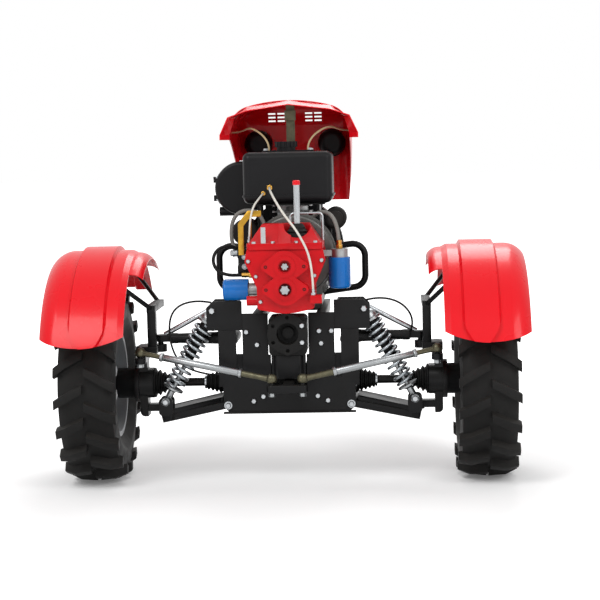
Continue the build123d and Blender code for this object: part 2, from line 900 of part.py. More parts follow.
# Fan shroud: round scroll with a duct up to the cylinder, and a guarded intake
fan_front = engine_front + fan_length
with BuildPart() as fan_shroud:
    with BuildSketch(Plane.XZ.offset(-engine_front)) as scroll:
        with Locations((0, (crank_z + duct_top) / 2)):
            RectangleRounded(2 * duct_half, duct_top - crank_z, duct_corner)
        with Locations((0, crank_z)):
            Circle(fan_radius)
    extrude(amount=-fan_length)
    drum_y(0, fan_front - intake_depth, fan_front, crank_z, intake_radius, mode=Mode.SUBTRACT)
    with BuildSketch(Plane.XZ.offset(intake_depth - fan_front)):
        with Locations((0, crank_z)):
            Circle(fan_hub)
        with Locations((0, crank_z)):
            with PolarLocations(intake_radius / 2, spoke_count):
                Rectangle(intake_radius + spoke_width, spoke_width)
        with Locations((0, crank_z)):
            Circle(guard_ring + guard_ring_width)
            Circle(guard_ring, mode=Mode.SUBTRACT)
            Circle(fan_hub)
            with PolarLocations(intake_radius / 2, spoke_count):
                Rectangle(intake_radius + spoke_width, spoke_width)
    extrude(amount=spoke_width - intake_depth)
fan_shroud.part.label = "fan_shroud"
export_step(fan_shroud.part, "parts/fan_shroud.step")

# Alternator on the right and muffler on the left
with BuildPart() as alternator:
    drum_y(alternator_x, alternator_y, alternator_y + alternator_length, alternator_z, alternator_radius)
    fillet(alternator.edges().filter_by(GeomType.CIRCLE), bell_flange)
    drum_y(alternator_x, alternator_y - pulley_width, alternator_y + pulley_width, alternator_z, pulley_radius)
    block(
        alternator_arm_x, alternator_arm_x + alternator_arm_width, alternator_arm_y,
        alternator_arm_y + alternator_arm_width, alternator_arm_z, alternator_z - alternator_radius / 1.4,
    )
    add(crankcase.part, mode=Mode.SUBTRACT)
alternator.part.label = "alternator"
export_step(alternator.part, "parts/alternator.step")

with BuildPart() as muffler:
    drum_y(muffler_x, muffler_y, muffler_y + muffler_length, muffler_z, muffler_radius)
    fillet(muffler.edges().filter_by(GeomType.CIRCLE), muffler_corner)
    add(
        pipe(
            [
                (-fin_half, exhaust_y, exhaust_z), ((muffler_x - 0.8 * fin_half) / 2, exhaust_y, exhaust_z),
                (muffler_x, exhaust_y, exhaust_z - 100), (muffler_x, exhaust_y, muffler_z + muffler_radius / 2),
            ],
            1.4 * exhaust_radius, exhaust_radius,
        )
    )
    add(cylinder.part, mode=Mode.SUBTRACT)
muffler.part.label = "muffler"
export_step(muffler.part, "parts/muffler.step")

# Tank bracket, fuel tank and cap
bracket_y = tank_front - bracket_inset - bracket_length
with BuildPart() as tank_bracket:
    for side in (-1, 1):
        leg = (side * bracket_half, side * (bracket_half - bracket_sheet))
        block(min(leg), max(leg), bracket_y, bracket_y + bracket_length, crankcase_top - bracket_sink, tank_bottom)
    block(
        -bracket_shelf_half, bracket_shelf_half, bracket_y, bracket_y + bracket_length,
        tank_bottom - bracket_shelf, tank_bottom,
    )
    add(crankcase.part, mode=Mode.SUBTRACT)
tank_bracket.part.label = "tank_bracket"
export_step(tank_bracket.part, "parts/tank_bracket.step")

tank_top = tank_bottom + tank_height
tank_mid = tank_y + tank_depth / 2
with BuildPart() as fuel_tank:
    block(-tank_half, tank_half, tank_y, tank_y + tank_depth, tank_bottom, tank_top)
    fillet(fuel_tank.edges(), tank_corner)
    with BuildSketch(Plane.XY.offset(tank_bottom + tank_seam_z)):
        with Locations((0, tank_mid)):
            RectangleRounded(2 * (tank_half + tank_seam), tank_depth + 2 * tank_seam, tank_corner + tank_seam)
    extrude(amount=tank_seam_height)
    with BuildSketch(Plane.XY.offset(tank_top)):
        with Locations((0, tank_mid)):
            RectangleRounded(2 * tank_plate_half, tank_plate_depth, tank_corner / 2)
    extrude(amount=tank_plate_thick)
fuel_tank.part.label = "fuel_tank"
export_step(fuel_tank.part, "parts/fuel_tank.step")

neck_foot = tank_top + tank_plate_thick
cap_foot = neck_foot + tank_neck_height - tank_plate_thick
with BuildPart() as tank_cap:
    drum_z(tank_cap_x, tank_mid, neck_foot, cap_foot, tank_neck_radius)
    drum_z(tank_cap_x, tank_mid, cap_foot, cap_foot + tank_cap_height, tank_cap_radius)
    with BuildSketch(Plane.XY.offset(cap_foot)):
        with Locations((tank_cap_x, tank_mid)):
            with PolarLocations(tank_cap_radius, tank_cap_grips):
                Circle(tank_cap_grip)
    extrude(amount=tank_cap_height, mode=Mode.SUBTRACT)
tank_cap.part.label = "tank_cap"
export_step(tank_cap.part, "parts/tank_cap.step")

# Air cleaner: ribbed can with a domed lid, two clamps, the inlet stub and the outlet
cleaner_back = cleaner_y + cleaner_length
with BuildPart() as air_cleaner:
    drum_y(cleaner_x, cleaner_y, cleaner_back, cleaner_z, cleaner_radius - cleaner_step)
    drum_y(cleaner_x, cleaner_y, cleaner_y + cleaner_lid, cleaner_z, cleaner_radius)
    fillet(air_cleaner.edges().filter_by(GeomType.CIRCLE).sort_by(Axis.Y)[0], cleaner_dome)
    clamp_y = cleaner_y + cleaner_lid
    clamp_x = cleaner_x - cleaner_radius - clamp_proud
    for height in (cleaner_z - clamp_height, cleaner_z + clamp_width):
        block(clamp_x, cleaner_x, clamp_y - clamp_width / 2, clamp_y + clamp_width / 2, height, height + clamp_width)
    drum_x(-inlet_reach, cleaner_x, cleaner_y + inlet_y, inlet_z, inlet_radius)
    drum_x(cleaner_x, -cylinder_radius, cleaner_y + outlet_y, cleaner_z, outlet_radius)
    add(cylinder.part, mode=Mode.SUBTRACT)
air_cleaner.part.label = "air_cleaner"
export_step(air_cleaner.part, "parts/air_cleaner.step")

# Oil filter on the left, fuel filter on the right, with their aluminium heads
oil_filter_end = oil_filter_start + oil_filter_length
fuel_filter_top = fuel_filter_z + fuel_filter_length
with BuildPart() as filters:
    drum_z(fuel_filter_x, fuel_filter_y, fuel_filter_z, fuel_filter_top, fuel_filter_radius)
    fillet(filters.edges().sort_by(Axis.Z)[0], filter_corner)
    drum_x(-oil_filter_end, -oil_filter_start, oil_filter_y, oil_filter_z, oil_filter_radius)
    fillet(filters.edges().sort_by(Axis.X)[0], filter_corner)
filters.part.label = "filters"
export_step(filters.part, "parts/filters.step")

fuel_head_top = fuel_filter_top + fuel_head_height
with BuildPart() as filter_heads:
    drum_x(-oil_filter_start, -oil_head_root, oil_filter_y, oil_filter_z, oil_head_radius)
    drum_z(fuel_filter_x, fuel_filter_y, fuel_filter_top, fuel_head_top, fuel_head_radius)
    block(
        head_arm_root, fuel_filter_x, fuel_filter_y - head_arm_width / 2, fuel_filter_y + head_arm_width / 2,
        fuel_filter_top + head_arm_rise, fuel_filter_top + head_arm_rise + head_arm_height,
    )
    add(gearbox_case.part, mode=Mode.SUBTRACT)
filter_heads.part.label = "filter_heads"
export_step(filter_heads.part, "parts/filter_heads.step")

# Side guards: bent tubes on both sides of the crankcase
with BuildPart() as guards:
    add(
        pipe(
            [
                (guard_root, guard_y, guard_high - guard_sink), (guard_x, guard_y, guard_high),
                (guard_x, guard_y, guard_low), (guard_root, guard_y, guard_low - guard_sink),
            ],
            guard_bend, guard_radius,
        )
    )
    mirror(about=Plane.YZ)
    add(crankcase.part, mode=Mode.SUBTRACT)
guards.part.label = "guards"
export_step(guards.part, "parts/guards.step")

# Braided hoses
hose_y = engine_rear + hose_radius * 2.6
with BuildPart() as hoses:
    add(
        pipe(
            [
                (wire_x, hose_y, crankcase_top), (wire_x, hose_y, hose_rise),
                (fuel_filter_x, fuel_filter_y, hose_rise), (fuel_filter_x, fuel_filter_y, fuel_head_top),
            ],
            hose_bend, hose_radius,
        )
    )
    add(
        pipe(
            [
                (-wire_x - 10, hose_y, crankcase_top), (-wire_x - 10, hose_y, left_hose_rise),
                (left_hose_out, hose_y, left_hose_rise), (left_hose_out, hose_y, left_hose_end),
                (-crankcase_half + side_cover, hose_y, left_hose_end),
            ],
            hose_bend, hose_radius,
        )
    )
    add(crankcase.part, mode=Mode.SUBTRACT)
hoses.part.label = "hoses"
export_step(hoses.part, "parts/hoses.step")

# Throttle bracket standing on the lid's flange
throttle_out = lid_foot_half + 48
throttle_leg = lid_foot_half + 28
throttle_foot = 269.0
throttle_top = 424.0
throttle_arm = 22.0
throttle_tip = 88.0
with BuildPart() as throttle_bracket:
    with BuildSketch(Plane.XZ.offset(-throttle_y)):
        Polygon(
            (-throttle_out, throttle_foot), (-throttle_out, throttle_top - 2 * throttle_arm),
            (-gearbox_top_half - 5, throttle_top), (-throttle_tip, throttle_top),
            (-throttle_tip, throttle_top - throttle_arm), (-lid_foot_half, throttle_top - throttle_arm),
            (-lid_foot_half, lid_deck), (-gearbox_top_half, lid_deck),
            (-gearbox_top_half, throttle_top - 1.3 * throttle_arm), (-throttle_leg, throttle_top - 2.4 * throttle_arm),
            (-throttle_leg, throttle_foot), align=None,
        )
    extrude(amount=throttle_thick)
    add(gearbox_lid.part, mode=Mode.SUBTRACT)
throttle_bracket.part.label = "throttle_bracket"
export_step(throttle_bracket.part, "parts/throttle_bracket.step")

# Control cable from the tank's face down to the lug, and its return rod
cable_x = -63.0
return_x = -86.0
cable_end_x = cable_lug_x + 11
cable_end_y = gearbox_y - 16
with BuildPart() as control_cable:
    add(
        pipe(
            [
                (cable_x, tank_y, cable_exit_z), (cable_x, tank_y - 80, cable_exit_z), (-10, -35, 425),
                (52, gearbox_y - 30, 350), (cable_end_x, cable_end_y, 250),
                (cable_end_x, cable_end_y, cable_lug_z + cable_lug_height),
            ],
            6 * cable_radius, cable_radius,
        )
    )
    add(
        pipe(
            [
                (return_x, tank_y, cable_exit_z - 20), (return_x, tank_y - 50, cable_exit_z - 20),
                (return_x - 40, 40, cable_exit_z - 80), (return_x - 40, 40, lid_deck),
            ],
            5 * cable_radius, return_radius,
        )
    )
control_cable.part.label = "control_cable"
export_step(control_cable.part, "parts/control_cable.step")

# Bonnet: a sheet shell from a rear section, a side profile and a rounded plan
nose_y = bonnet_front - bonnet_nose
nose_z = bonnet_top - bonnet_nose_drop


def bonnet_body(inset, rear, bottom):
    half = bonnet_half - inset
    top = bonnet_top - inset
    front = bonnet_front - inset
    crown = (bonnet_crown_half - inset / 2, bonnet_crown_z - inset)
    cheek = ((half + crown[0]) / 2 + bonnet_tuck, (bonnet_shoulder_z + crown[1]) / 2 + bonnet_tuck)
    with BuildPart() as body:
        with BuildSketch(Plane.XZ.offset(-front)):
            with BuildLine():
                Line((half - bonnet_tuck, bottom), (bonnet_tuck - half, bottom))
                ThreePointArc(
                    (bonnet_tuck - half, bottom), (bonnet_tuck / 4 - half, (bottom + bonnet_shoulder_z) / 2),
                    (-half, bonnet_shoulder_z),
                )
                ThreePointArc((-half, bonnet_shoulder_z), (-cheek[0], cheek[1]), (-crown[0], crown[1]))
                ThreePointArc((-crown[0], crown[1]), (0, top), crown)
                ThreePointArc(crown, cheek, (half, bonnet_shoulder_z))
                ThreePointArc(
                    (half, bonnet_shoulder_z), (half - bonnet_tuck / 4, (bottom + bonnet_shoulder_z) / 2),
                    (half - bonnet_tuck, bottom),
                )
            make_face()
        extrude(amount=front - rear)
        with BuildSketch(Plane.YZ.offset(-half - bonnet_tuck)):
            with BuildLine():
                Polyline((front, bottom), (rear, bottom), (rear, top), (nose_y, top))
                ThreePointArc(
                    (nose_y, top), ((nose_y + 2 * front) / 3, (2 * top + nose_z) / 3 - inset / 2), (front, nose_z),
                )
                Line((front, nose_z), (front, bottom))
            make_face()
        extrude(amount=2 * (half + bonnet_tuck), mode=Mode.INTERSECT)
        with BuildSketch(Plane.XY.offset(bottom)) as plan:
            with Locations((0, (rear + front) / 2)):
                Rectangle(2 * half + bonnet_sheet, front - rear)
            fillet(plan.vertices().group_by(Axis.Y)[-1], bonnet_plan_corner - inset)
        extrude(amount=top - bottom, mode=Mode.INTERSECT)
    return body.part


def eaves_loft(inset):
    with BuildPart() as eaves:
        for depth, half, top, flare in (
            (bonnet_rear, bonnet_half - inset, bonnet_top - inset, -inset),
            (eaves_rear, eaves_half - inset, eaves_top - inset, eaves_flare - inset),
        ):
            cheek = bonnet_half - bonnet_tuck - 4 + flare
            with BuildSketch(Plane.XZ.offset(-depth)):
                Polygon(
                    (-half, eaves_tip - 2 * bonnet_tuck), (-half, bonnet_shoulder_z), (-cheek, bonnet_crown_z - 38 - inset),
                    (-bonnet_crown_half, top - 20), (0, top), (bonnet_crown_half, top - 20),
                    (cheek, bonnet_crown_z - 38 - inset), (half, bonnet_shoulder_z), (half, eaves_tip - 2 * bonnet_tuck),
                    align=None,
                )
        loft(ruled=True)
    return eaves.part


with BuildPart() as bonnet:
    add(bonnet_body(0, bonnet_rear, bonnet_bottom))
    add(bonnet_body(bonnet_sheet, bonnet_rear - bonnet_sheet, bonnet_bottom - bonnet_tuck), mode=Mode.SUBTRACT)
    add(eaves_loft(0))
    add(eaves_loft(bonnet_sheet), mode=Mode.SUBTRACT)
    with BuildSketch(Plane.YZ.offset(-eaves_half - bonnet_tuck)):
        with BuildLine():
            Polyline(
                (bonnet_rear + bonnet_tuck, eaves_tip), (eaves_rear - bonnet_tuck, eaves_tip),
                (eaves_rear - bonnet_tuck, bonnet_bottom - 2 * bonnet_tuck),
                (bonnet_front - bonnet_tuck, bonnet_bottom - 2 * bonnet_tuck),
                (bonnet_front - bonnet_tuck, bonnet_bottom),
            )
            ThreePointArc(
                (bonnet_front - bonnet_tuck, bonnet_bottom),
                ((bonnet_rear + bonnet_front) / 2, bonnet_bottom + 0.66 * (eaves_tip - bonnet_bottom)),
                (bonnet_rear + bonnet_tuck, eaves_tip),
            )
        make_face()
    extrude(amount=2 * (eaves_half + bonnet_tuck), mode=Mode.SUBTRACT)
    with BuildSketch(Plane.XZ.offset(-bonnet_front)):
        for row in range(slot_rows):
            with Locations([(column, slot_z + row * slot_pitch) for column in slot_columns]):
                Rectangle(slot_width, slot_height)
    extrude(amount=bonnet_nose, mode=Mode.SUBTRACT)
    with BuildSketch(Plane.XZ.offset(-bonnet_front)):
        with Locations((0, grille_z + grille_pitch * (grille_rows - 1) / 2)):
            with GridLocations(0, grille_pitch, 1, grille_rows):
                SlotOverall(grille_width, grille_slot)
    extrude(amount=bonnet_nose, mode=Mode.SUBTRACT)
    with BuildSketch(Plane.XZ.offset(-bonnet_front)):
        with Locations((-lamp_x, lamp_z), (lamp_x, lamp_z)):
            Circle(lamp_radius)
    extrude(amount=bonnet_nose, mode=Mode.SUBTRACT)
bonnet.part.label = "bonnet"
export_step(bonnet.part, "parts/bonnet.step")

# Bonnet stay on the rocker cover with its latch, and the lamp wires from the tank to the bonnet's sides
with BuildPart() as bonnet_stay:
    block(-stay_half, stay_half, stay_y, stay_y + stay_thick, rocker_top, bonnet_top)
    block(
        -latch_half, latch_half, stay_y - latch_depth, stay_y + stay_thick,
        bonnet_top - 2 * latch_height, bonnet_top - latch_height,
    )
    add(bonnet_body(bonnet_sheet, bonnet_rear, bonnet_bottom), mode=Mode.INTERSECT)
bonnet_stay.part.label = "bonnet_stay"
export_step(bonnet_stay.part, "parts/bonnet_stay.step")

with BuildPart() as lamp_wires:
    add(
        pipe(
            [
                (wire_x, wire_y, tank_top + tank_plate_thick), (wire_x, wire_y, tank_top + 42),
                (2 * wire_x, wire_y + 90, bonnet_shoulder_z + 30), (2.7 * wire_x, wire_y + 190, bonnet_shoulder_z + 10),
                (bonnet_half, wire_y + 190, bonnet_shoulder_z + 10),
            ],
            3.5 * wire_radius_lamp, wire_radius_lamp,
        )
    )
    mirror(about=Plane.YZ)
    add(bonnet_body(bonnet_sheet, wire_y - wire_x, bonnet_bottom), mode=Mode.INTERSECT)
lamp_wires.part.label = "lamp_wires"
export_step(lamp_wires.part, "parts/lamp_wires.step")

# Headlamps in the bonnet's front
bezel_front = bonnet_front + lamp_proud
with BuildPart() as headlamps:
    drum_y(lamp_x, bonnet_front, bezel_front, lamp_z, lamp_radius + lamp_bezel)
    drum_y(lamp_x, bonnet_front - lamp_depth, bonnet_front, lamp_z, lamp_radius)
    fillet(headlamps.edges().filter_by(GeomType.CIRCLE).sort_by(Axis.Y)[0], lamp_radius / 2)
    mirror(about=Plane.YZ)
headlamps.part.label = "headlamps"
export_step(headlamps.part, "parts/headlamps.step")

with BuildPart() as headlamp_lenses:
    drum_y(lamp_x, bezel_front, bezel_front + lens_thick, lamp_z, lamp_radius)
    fillet(headlamp_lenses.edges().filter_by(GeomType.CIRCLE).sort_by(Axis.Y)[-1], lens_thick / 2)
    mirror(about=Plane.YZ)
headlamp_lenses.part.label = "headlamp_lenses"
export_step(headlamp_lenses.part, "parts/headlamp_lenses.step")

# Lower arms: pressed triangles with the pivot bush and the shock's foot bracket
with BuildPart() as lower_arms:
    arm_span = kingpin_x - arm_pivot_x
    arm_slope = Vector(arm_span, 0, lower_ball_z - arm_ball_drop - arm_pivot_z)
    arm_plane = Plane(
        origin=(arm_pivot_x, axle_y, arm_pivot_z), x_dir=arm_slope, z_dir=(-arm_slope.Z, 0, arm_slope.X),
    )
    with BuildSketch(arm_plane) as arm_outline:
        Polygon(
            (0, -lower_arm_base), (0.12 * arm_span, -lower_arm_base), (0.88 * arm_span, -72), (arm_span, -66),
            (arm_span + 4, 0), (arm_span, 24), (0.88 * arm_span, 40), (0.12 * arm_span, lower_arm_base),
            (0, lower_arm_base), align=None,
        )
        fillet(arm_outline.vertices(), lower_arm_corner)
        with BuildSketch(mode=Mode.PRIVATE) as arm_window:
            Polygon(
                (0.11 * arm_span, -62), (0.61 * arm_span, -22), (0.61 * arm_span, 12), (0.11 * arm_span, 62),
                align=None,
            )
            fillet(arm_window.vertices(), lower_arm_corner)
        add(arm_window.sketch, mode=Mode.SUBTRACT)
    extrude(amount=lower_arm_thick / 2, both=True)
    drum_y(arm_pivot_x, plate_back, front_plate_y, arm_pivot_z, arm_bush_radius)
    for foot_y in (shock_y - foot_half - foot_sheet, shock_y + foot_half):
        with BuildSketch(Plane.XZ.offset(-foot_y)) as foot_outline:
            with Locations(((foot_in + foot_out) / 2, (foot_bottom + foot_top) / 2)):
                Rectangle(foot_out - foot_in, foot_top - foot_bottom)
            fillet(foot_outline.vertices().group_by(Axis.Z)[-1], shock_eye)
        extrude(amount=-foot_sheet)
    mirror(about=Plane.YZ)
lower_arms.part.label = "lower_arms"
export_step(lower_arms.part, "parts/lower_arms.step")

# Upper arms
with BuildPart() as upper_arms:
    arm_tip = kingpin_x + 24
    with BuildSketch(Plane.XY.offset(upper_ball_z + upper_arm_lift)) as upper_outline:
        Polygon(
            (upper_arm_in, axle_y - 32), (upper_arm_in + 30, axle_y - 32), (kingpin_x - 31, axle_y - 20),
            (kingpin_x, axle_y - 24), (arm_tip, axle_y), (kingpin_x, axle_y + 24), (kingpin_x - 31, axle_y + 20),
            (upper_arm_in + 30, axle_y + 75), (upper_arm_in, axle_y + 75), align=None,
        )
        fillet(upper_outline.vertices(), upper_arm_corner)
        with BuildSketch(mode=Mode.PRIVATE) as upper_window:
            Polygon(
                (upper_arm_in + 42, axle_y - 12), (kingpin_x - 70, axle_y - 5), (kingpin_x - 70, axle_y + 6),
                (upper_arm_in + 42, axle_y + 50), align=None,
            )
            fillet(upper_window.vertices(), pto_hole / 2)
        add(upper_window.sketch, mode=Mode.SUBTRACT)
    extrude(amount=upper_arm_thick)
    bush_mid = upper_ball_z + upper_arm_lift + upper_arm_thick / 2
    drum_y(upper_arm_in + 14, plate_back, front_plate_y - 25, bush_mid - 2, upper_bush_half)
    mirror(about=Plane.YZ)
upper_arms.part.label = "upper_arms"
export_step(upper_arms.part, "parts/upper_arms.step")

# Brace rods from the towers to the upper arms
with BuildPart() as brace_rods:
    brace_y = tower_front + brace_radius
    add(bar((brace_top_x, brace_y, brace_top_z), (brace_foot_x, brace_y + 3, brace_foot_z), brace_radius))
    mirror(about=Plane.YZ)
    add(upper_arms.part, mode=Mode.SUBTRACT)
brace_rods.part.label = "brace_rods"
export_step(brace_rods.part, "parts/brace_rods.step")

# Shock absorbers: cap, body, rod, two spring seats and the eyes
shock_vector = Vector(shock_foot_x - shock_top_x, 0, shock_foot_z - shock_top_z)
shock_length = shock_vector.length
shock_plane = Plane(origin=(shock_top_x, shock_y, shock_top_z), x_dir=(0, 1, 0), z_dir=shock_vector)
spring_end = shock_length - spring_inset
with BuildPart() as shock_absorbers:
    for start, end, radius in (
        (shock_neck, spring_start - spring_seat, shock_cap_radius),
        (spring_start - spring_seat, spring_start, spring_seat_radius),
        (spring_start, shock_body_end, shock_body_radius),
        (shock_body_end, shock_length - shock_neck, shock_rod_radius),
        (spring_end, spring_end + spring_seat, spring_seat_radius),
    ):
        with BuildSketch(shock_plane.offset(start)):
            Circle(radius)
        extrude(amount=end - start)
    drum_y(shock_top_x, plate_y + sheet, plate_y + tower_depth, shock_top_z, shock_eye)
    drum_y(shock_foot_x, shock_y - foot_half, shock_y + foot_half, shock_foot_z, shock_eye - 1)
    mirror(about=Plane.YZ)
shock_absorbers.part.label = "shock_absorbers"
export_step(shock_absorbers.part, "parts/shock_absorbers.step")

# Coil springs
with BuildPart() as coil_springs:
    spring_run = spring_end - spring_start - 2 * wire_radius
    coil_foot = shock_plane.offset(spring_start + wire_radius).origin
    with BuildLine() as coil:
        Helix(spring_run / spring_turns, spring_run, spring_radius, center=coil_foot, direction=shock_vector)
    with BuildSketch(Plane(origin=coil.line @ 0, z_dir=coil.line % 0)):
        RegularPolygon(wire_radius, 8)
    sweep(path=coil.line, is_frenet=True)
    mirror(about=Plane.YZ)
coil_springs.part.label = "coil_springs"
export_step(coil_springs.part, "parts/coil_springs.step")

# Half-shafts with the inner joints, and their boots
with BuildPart() as half_shafts:
    drum_x(tube_end, inner_cup_end, axle_y, axle_z, inner_cup_radius)
    drum_x(inner_cup_end, shaft_end, axle_y, axle_z, shaft_radius)
    mirror(about=Plane.YZ)
half_shafts.part.label = "half_shafts"
export_step(half_shafts.part, "parts/half_shafts.step")


def bellows(start, end, wide):
    points = [(start, axle_y + shaft_radius), (start, axle_y + wide)]
    step = (end - start) / boot_folds
    for fold in range(boot_folds):
        ridge = axle_y + wide + (boot_neck - wide) * fold / boot_folds
        points.append((start + (fold + 0.3) * step, ridge + boot_step / 2))
        points.append((start + (fold + 0.8) * step, ridge - 2 * boot_step))
    points += [(end, axle_y + boot_neck), (end, axle_y + shaft_radius)]
    with BuildPart() as boot:
        with BuildSketch(Plane.XY.offset(axle_z)):
            Polygon(*points, align=None)
        revolve(axis=Axis((0, axle_y, axle_z), (1, 0, 0)))
    return boot.part


with BuildPart() as inner_boots:
    add(bellows(inner_cup_end, inner_boot_end, inner_cup_radius - boot_step))
    mirror(about=Plane.YZ)
inner_boots.part.label = "inner_boots"
export_step(inner_boots.part, "parts/inner_boots.step")

with BuildPart() as boot_right:
    add(bellows(outer_cup_start - boot_seat, outer_boot_end, cup_radius - boot_step))
boot_right.part.label = "boot_right"
export_step(boot_right.part, "parts/boot_right.step")

with BuildPart() as boot_left:
    add(mirror(boot_right.part, about=Plane.YZ))
boot_left.part.label = "boot_left"
export_step(boot_left.part, "parts/boot_left.step")

# Steering arm: pivot boss, tapered arm, cross bar and the two ball studs
stud_y = pivot_y - steer_arm_length
with BuildPart() as steering_arm:
    with BuildSketch(Plane.XY.offset(arm_top - arm_thick)) as arm_plan:
        with Locations((0, pivot_y)):
            Circle(arm_boss)
        with Locations((0, (stud_y + pivot_y) / 2)):
            Rectangle(2 * arm_half, pivot_y - stud_y)
        with Locations((0, stud_y)):
            SlotOverall(2 * (steer_arm_x + arm_half), 2 * arm_half)
    extrude(amount=arm_thick - pin_gap)
    for side in (-1, 1):
        drum_z(side * steer_arm_x, stud_y, arm_top - 2 * pin_gap, inner_rod_z + running_gap, stud_radius)
steering_arm.part.label = "steering_arm"
export_step(steering_arm.part, "parts/steering_arm.step")

# Tie rods: tube with a thicker sleeve between the two rod ends
outer_x = kingpin_x + steer_arm_x
outer_y = axle_y - steer_arm_length
rod_start = Vector(steer_arm_x, stud_y, inner_rod_z)
rod_finish = Vector(outer_x, outer_y, outer_rod_z)
end_low = rod_end_lift - rod_end_height / 2
end_high = rod_end_lift + rod_end_height / 2
with BuildPart() as tie_rod_right:
    add(bar(rod_start, rod_finish, rod_radius))
    rod_run = rod_finish - rod_start
    add(bar(rod_start + rod_run * sleeve_start, rod_start + rod_run * sleeve_end, rod_sleeve))
    for ball in (rod_start, rod_finish):
        drum_z(ball.X, ball.Y, ball.Z + end_low, ball.Z + end_high, rod_end_radius)
        drum_z(
            ball.X, ball.Y, ball.Z - rod_end_height, ball.Z + stud_radius, stud_radius + pin_gap,
            mode=Mode.SUBTRACT,
        )
tie_rod_right.part.label = "tie_rod_right"
export_step(tie_rod_right.part, "parts/tie_rod_right.step")

with BuildPart() as tie_rod_left:
    add(mirror(tie_rod_right.part, about=Plane.YZ))
tie_rod_left.part.label = "tie_rod_left"
export_step(tie_rod_left.part, "parts/tie_rod_left.step")

# Knuckles: C-shaped upright with ball lugs, joint cup, carrier flange, spindle and steering lever
carrier_end = half_track - hub_face
lever_low = outer_rod_z - steer_lever_drop
lever_high = lever_low + steer_lever_thick
lower_lug_top = lower_lug_bottom + lower_lug
upper_lug_bottom = upright_top - upper_lug
with BuildPart() as knuckle_right:
    with BuildSketch(Plane.XZ.offset(-axle_y)) as upright:
        with Locations(((upright_in + upright_out) / 2, (upright_bottom + upright_top) / 2)):
            Rectangle(upright_out - upright_in, upright_top - upright_bottom)
        fillet(upright.vertices().group_by(Axis.X)[-1], upright_corner)
    extrude(amount=upright_half, both=True)
    for low, high in ((lower_lug_bottom, lower_lug_top), (upper_lug_bottom, upright_top)):
        with BuildSketch(Plane.XY.offset(low)):
            with Locations((kingpin_x, axle_y)):
                Circle(knuckle_lug_half)
            with Locations(((kingpin_x + upright_out) / 2, axle_y)):
                Rectangle(upright_out - kingpin_x, 2 * knuckle_lug_half)
        extrude(amount=high - low)
    block(post_foot_in, upright_out, post_foot_y, post_foot_front, upper_lug_bottom, upright_top)
    drum_z(kingpin_x, axle_y, lower_ball_z + arm_ball_drop, lower_lug_top, ball_stud_radius)
    stud_top = upper_ball_z + upper_arm_lift - pin_gap
    drum_z(kingpin_x, axle_y, upper_lug_bottom, stud_top, ball_stud_radius)
    drum_x(outer_cup_start, carrier_end, axle_y, axle_z, cup_radius)
    drum_x(upright_out, upright_out + carrier_flange_thick, axle_y, axle_z, carrier_flange)
    drum_x(carrier_end, half_track + spindle_reach, axle_y, axle_z, spindle_radius)
    block(steer_lever_in, steer_lever_out, outer_y, steer_lever_front, lever_low, lever_high)
    drum_z(outer_x, outer_y, lever_low, lever_high, steer_lever_eye)
    drum_z(outer_x, outer_y, lever_low, outer_rod_z + running_gap, stud_radius)
knuckle_right.part.label = "knuckle_right"
export_step(knuckle_right.part, "parts/knuckle_right.step")

with BuildPart() as knuckle_left:
    add(mirror(knuckle_right.part, about=Plane.YZ))
knuckle_left.part.label = "knuckle_left"
export_step(knuckle_left.part, "parts/knuckle_left.step")

# Fenders: a rolled sheet with a raised, tapering panel, a bowed tail and an inner lip at the top
fender_z = axle_z + fender_lift
fender_arc = 180 - fender_rear_angle - fender_front_angle
fender_turn = Location((0, axle_y, fender_z), (fender_front_angle - 90, 0, 0))
lobe_turn = Location((0, axle_y, fender_z), (-lobe_arc / 2, 0, 0))
tail_mid = (fender_in + fender_out) / 2


def fender_body(inset):
    edge = fender_radius - inset
    foot = fender_radius - fender_skirt
    with BuildPart() as body:
        with BuildSketch(Plane.XZ):
            with BuildLine():
                Polyline(
                    (fender_out, edge - fender_outer_roll), (fender_out, foot), (fender_in, foot),
                    (fender_in, edge - fender_inner_roll), (fender_in + 2 * fender_inner_roll, edge),
                    (fender_out - fender_outer_width, edge),
                )
                ThreePointArc(
                    (fender_out - fender_outer_width, edge),
                    (fender_out - 0.4 * fender_outer_width, edge - 0.32 * fender_outer_roll),
                    (fender_out, edge - fender_outer_roll),
                )
            make_face()
        revolve(axis=Axis.X, revolution_arc=fender_arc)
    return fender_turn * body.part


def panel_body(inset):
    edge = fender_radius - inset
    near = fender_in + panel_in + inset
    far = fender_out - panel_out - inset
    with BuildPart() as panel:
        with BuildSketch(Plane.XZ):
            Polygon(
                (near, edge - panel_lift), (near + panel_slope, edge + panel_lift), (far - panel_slope, edge + panel_lift),
                (far, edge - panel_lift), align=None,
            )
        revolve(axis=Axis.X, revolution_arc=fender_arc)
    middle = (near + far) / 2
    high = fender_z + fender_radius + 2 * panel_lift
    waist = fender_z + fender_radius / 2
    with BuildPart() as taper:
        with BuildSketch(Plane.XZ.offset(-axle_y)):
            with BuildLine():
                Polyline((near, waist + panel_tail), (near, high), (far, high), (far, waist + panel_tail))
                ThreePointArc(
                    (far, waist + panel_tail), (far - panel_bow, waist - panel_tail),
                    (middle + panel_tail / 2 - inset, fender_tail_z),
                )
                Line((middle + panel_tail / 2 - inset, fender_tail_z), (middle - panel_tail / 2 + inset, fender_tail_z))
                ThreePointArc(
                    (middle - panel_tail / 2 + inset, fender_tail_z), (near + panel_bow, waist - panel_tail),
                    (near, waist + panel_tail),
                )
            make_face()
        extrude(amount=2 * fender_radius, both=True)
        add(fender_turn * panel.part, mode=Mode.INTERSECT)
    return taper.part


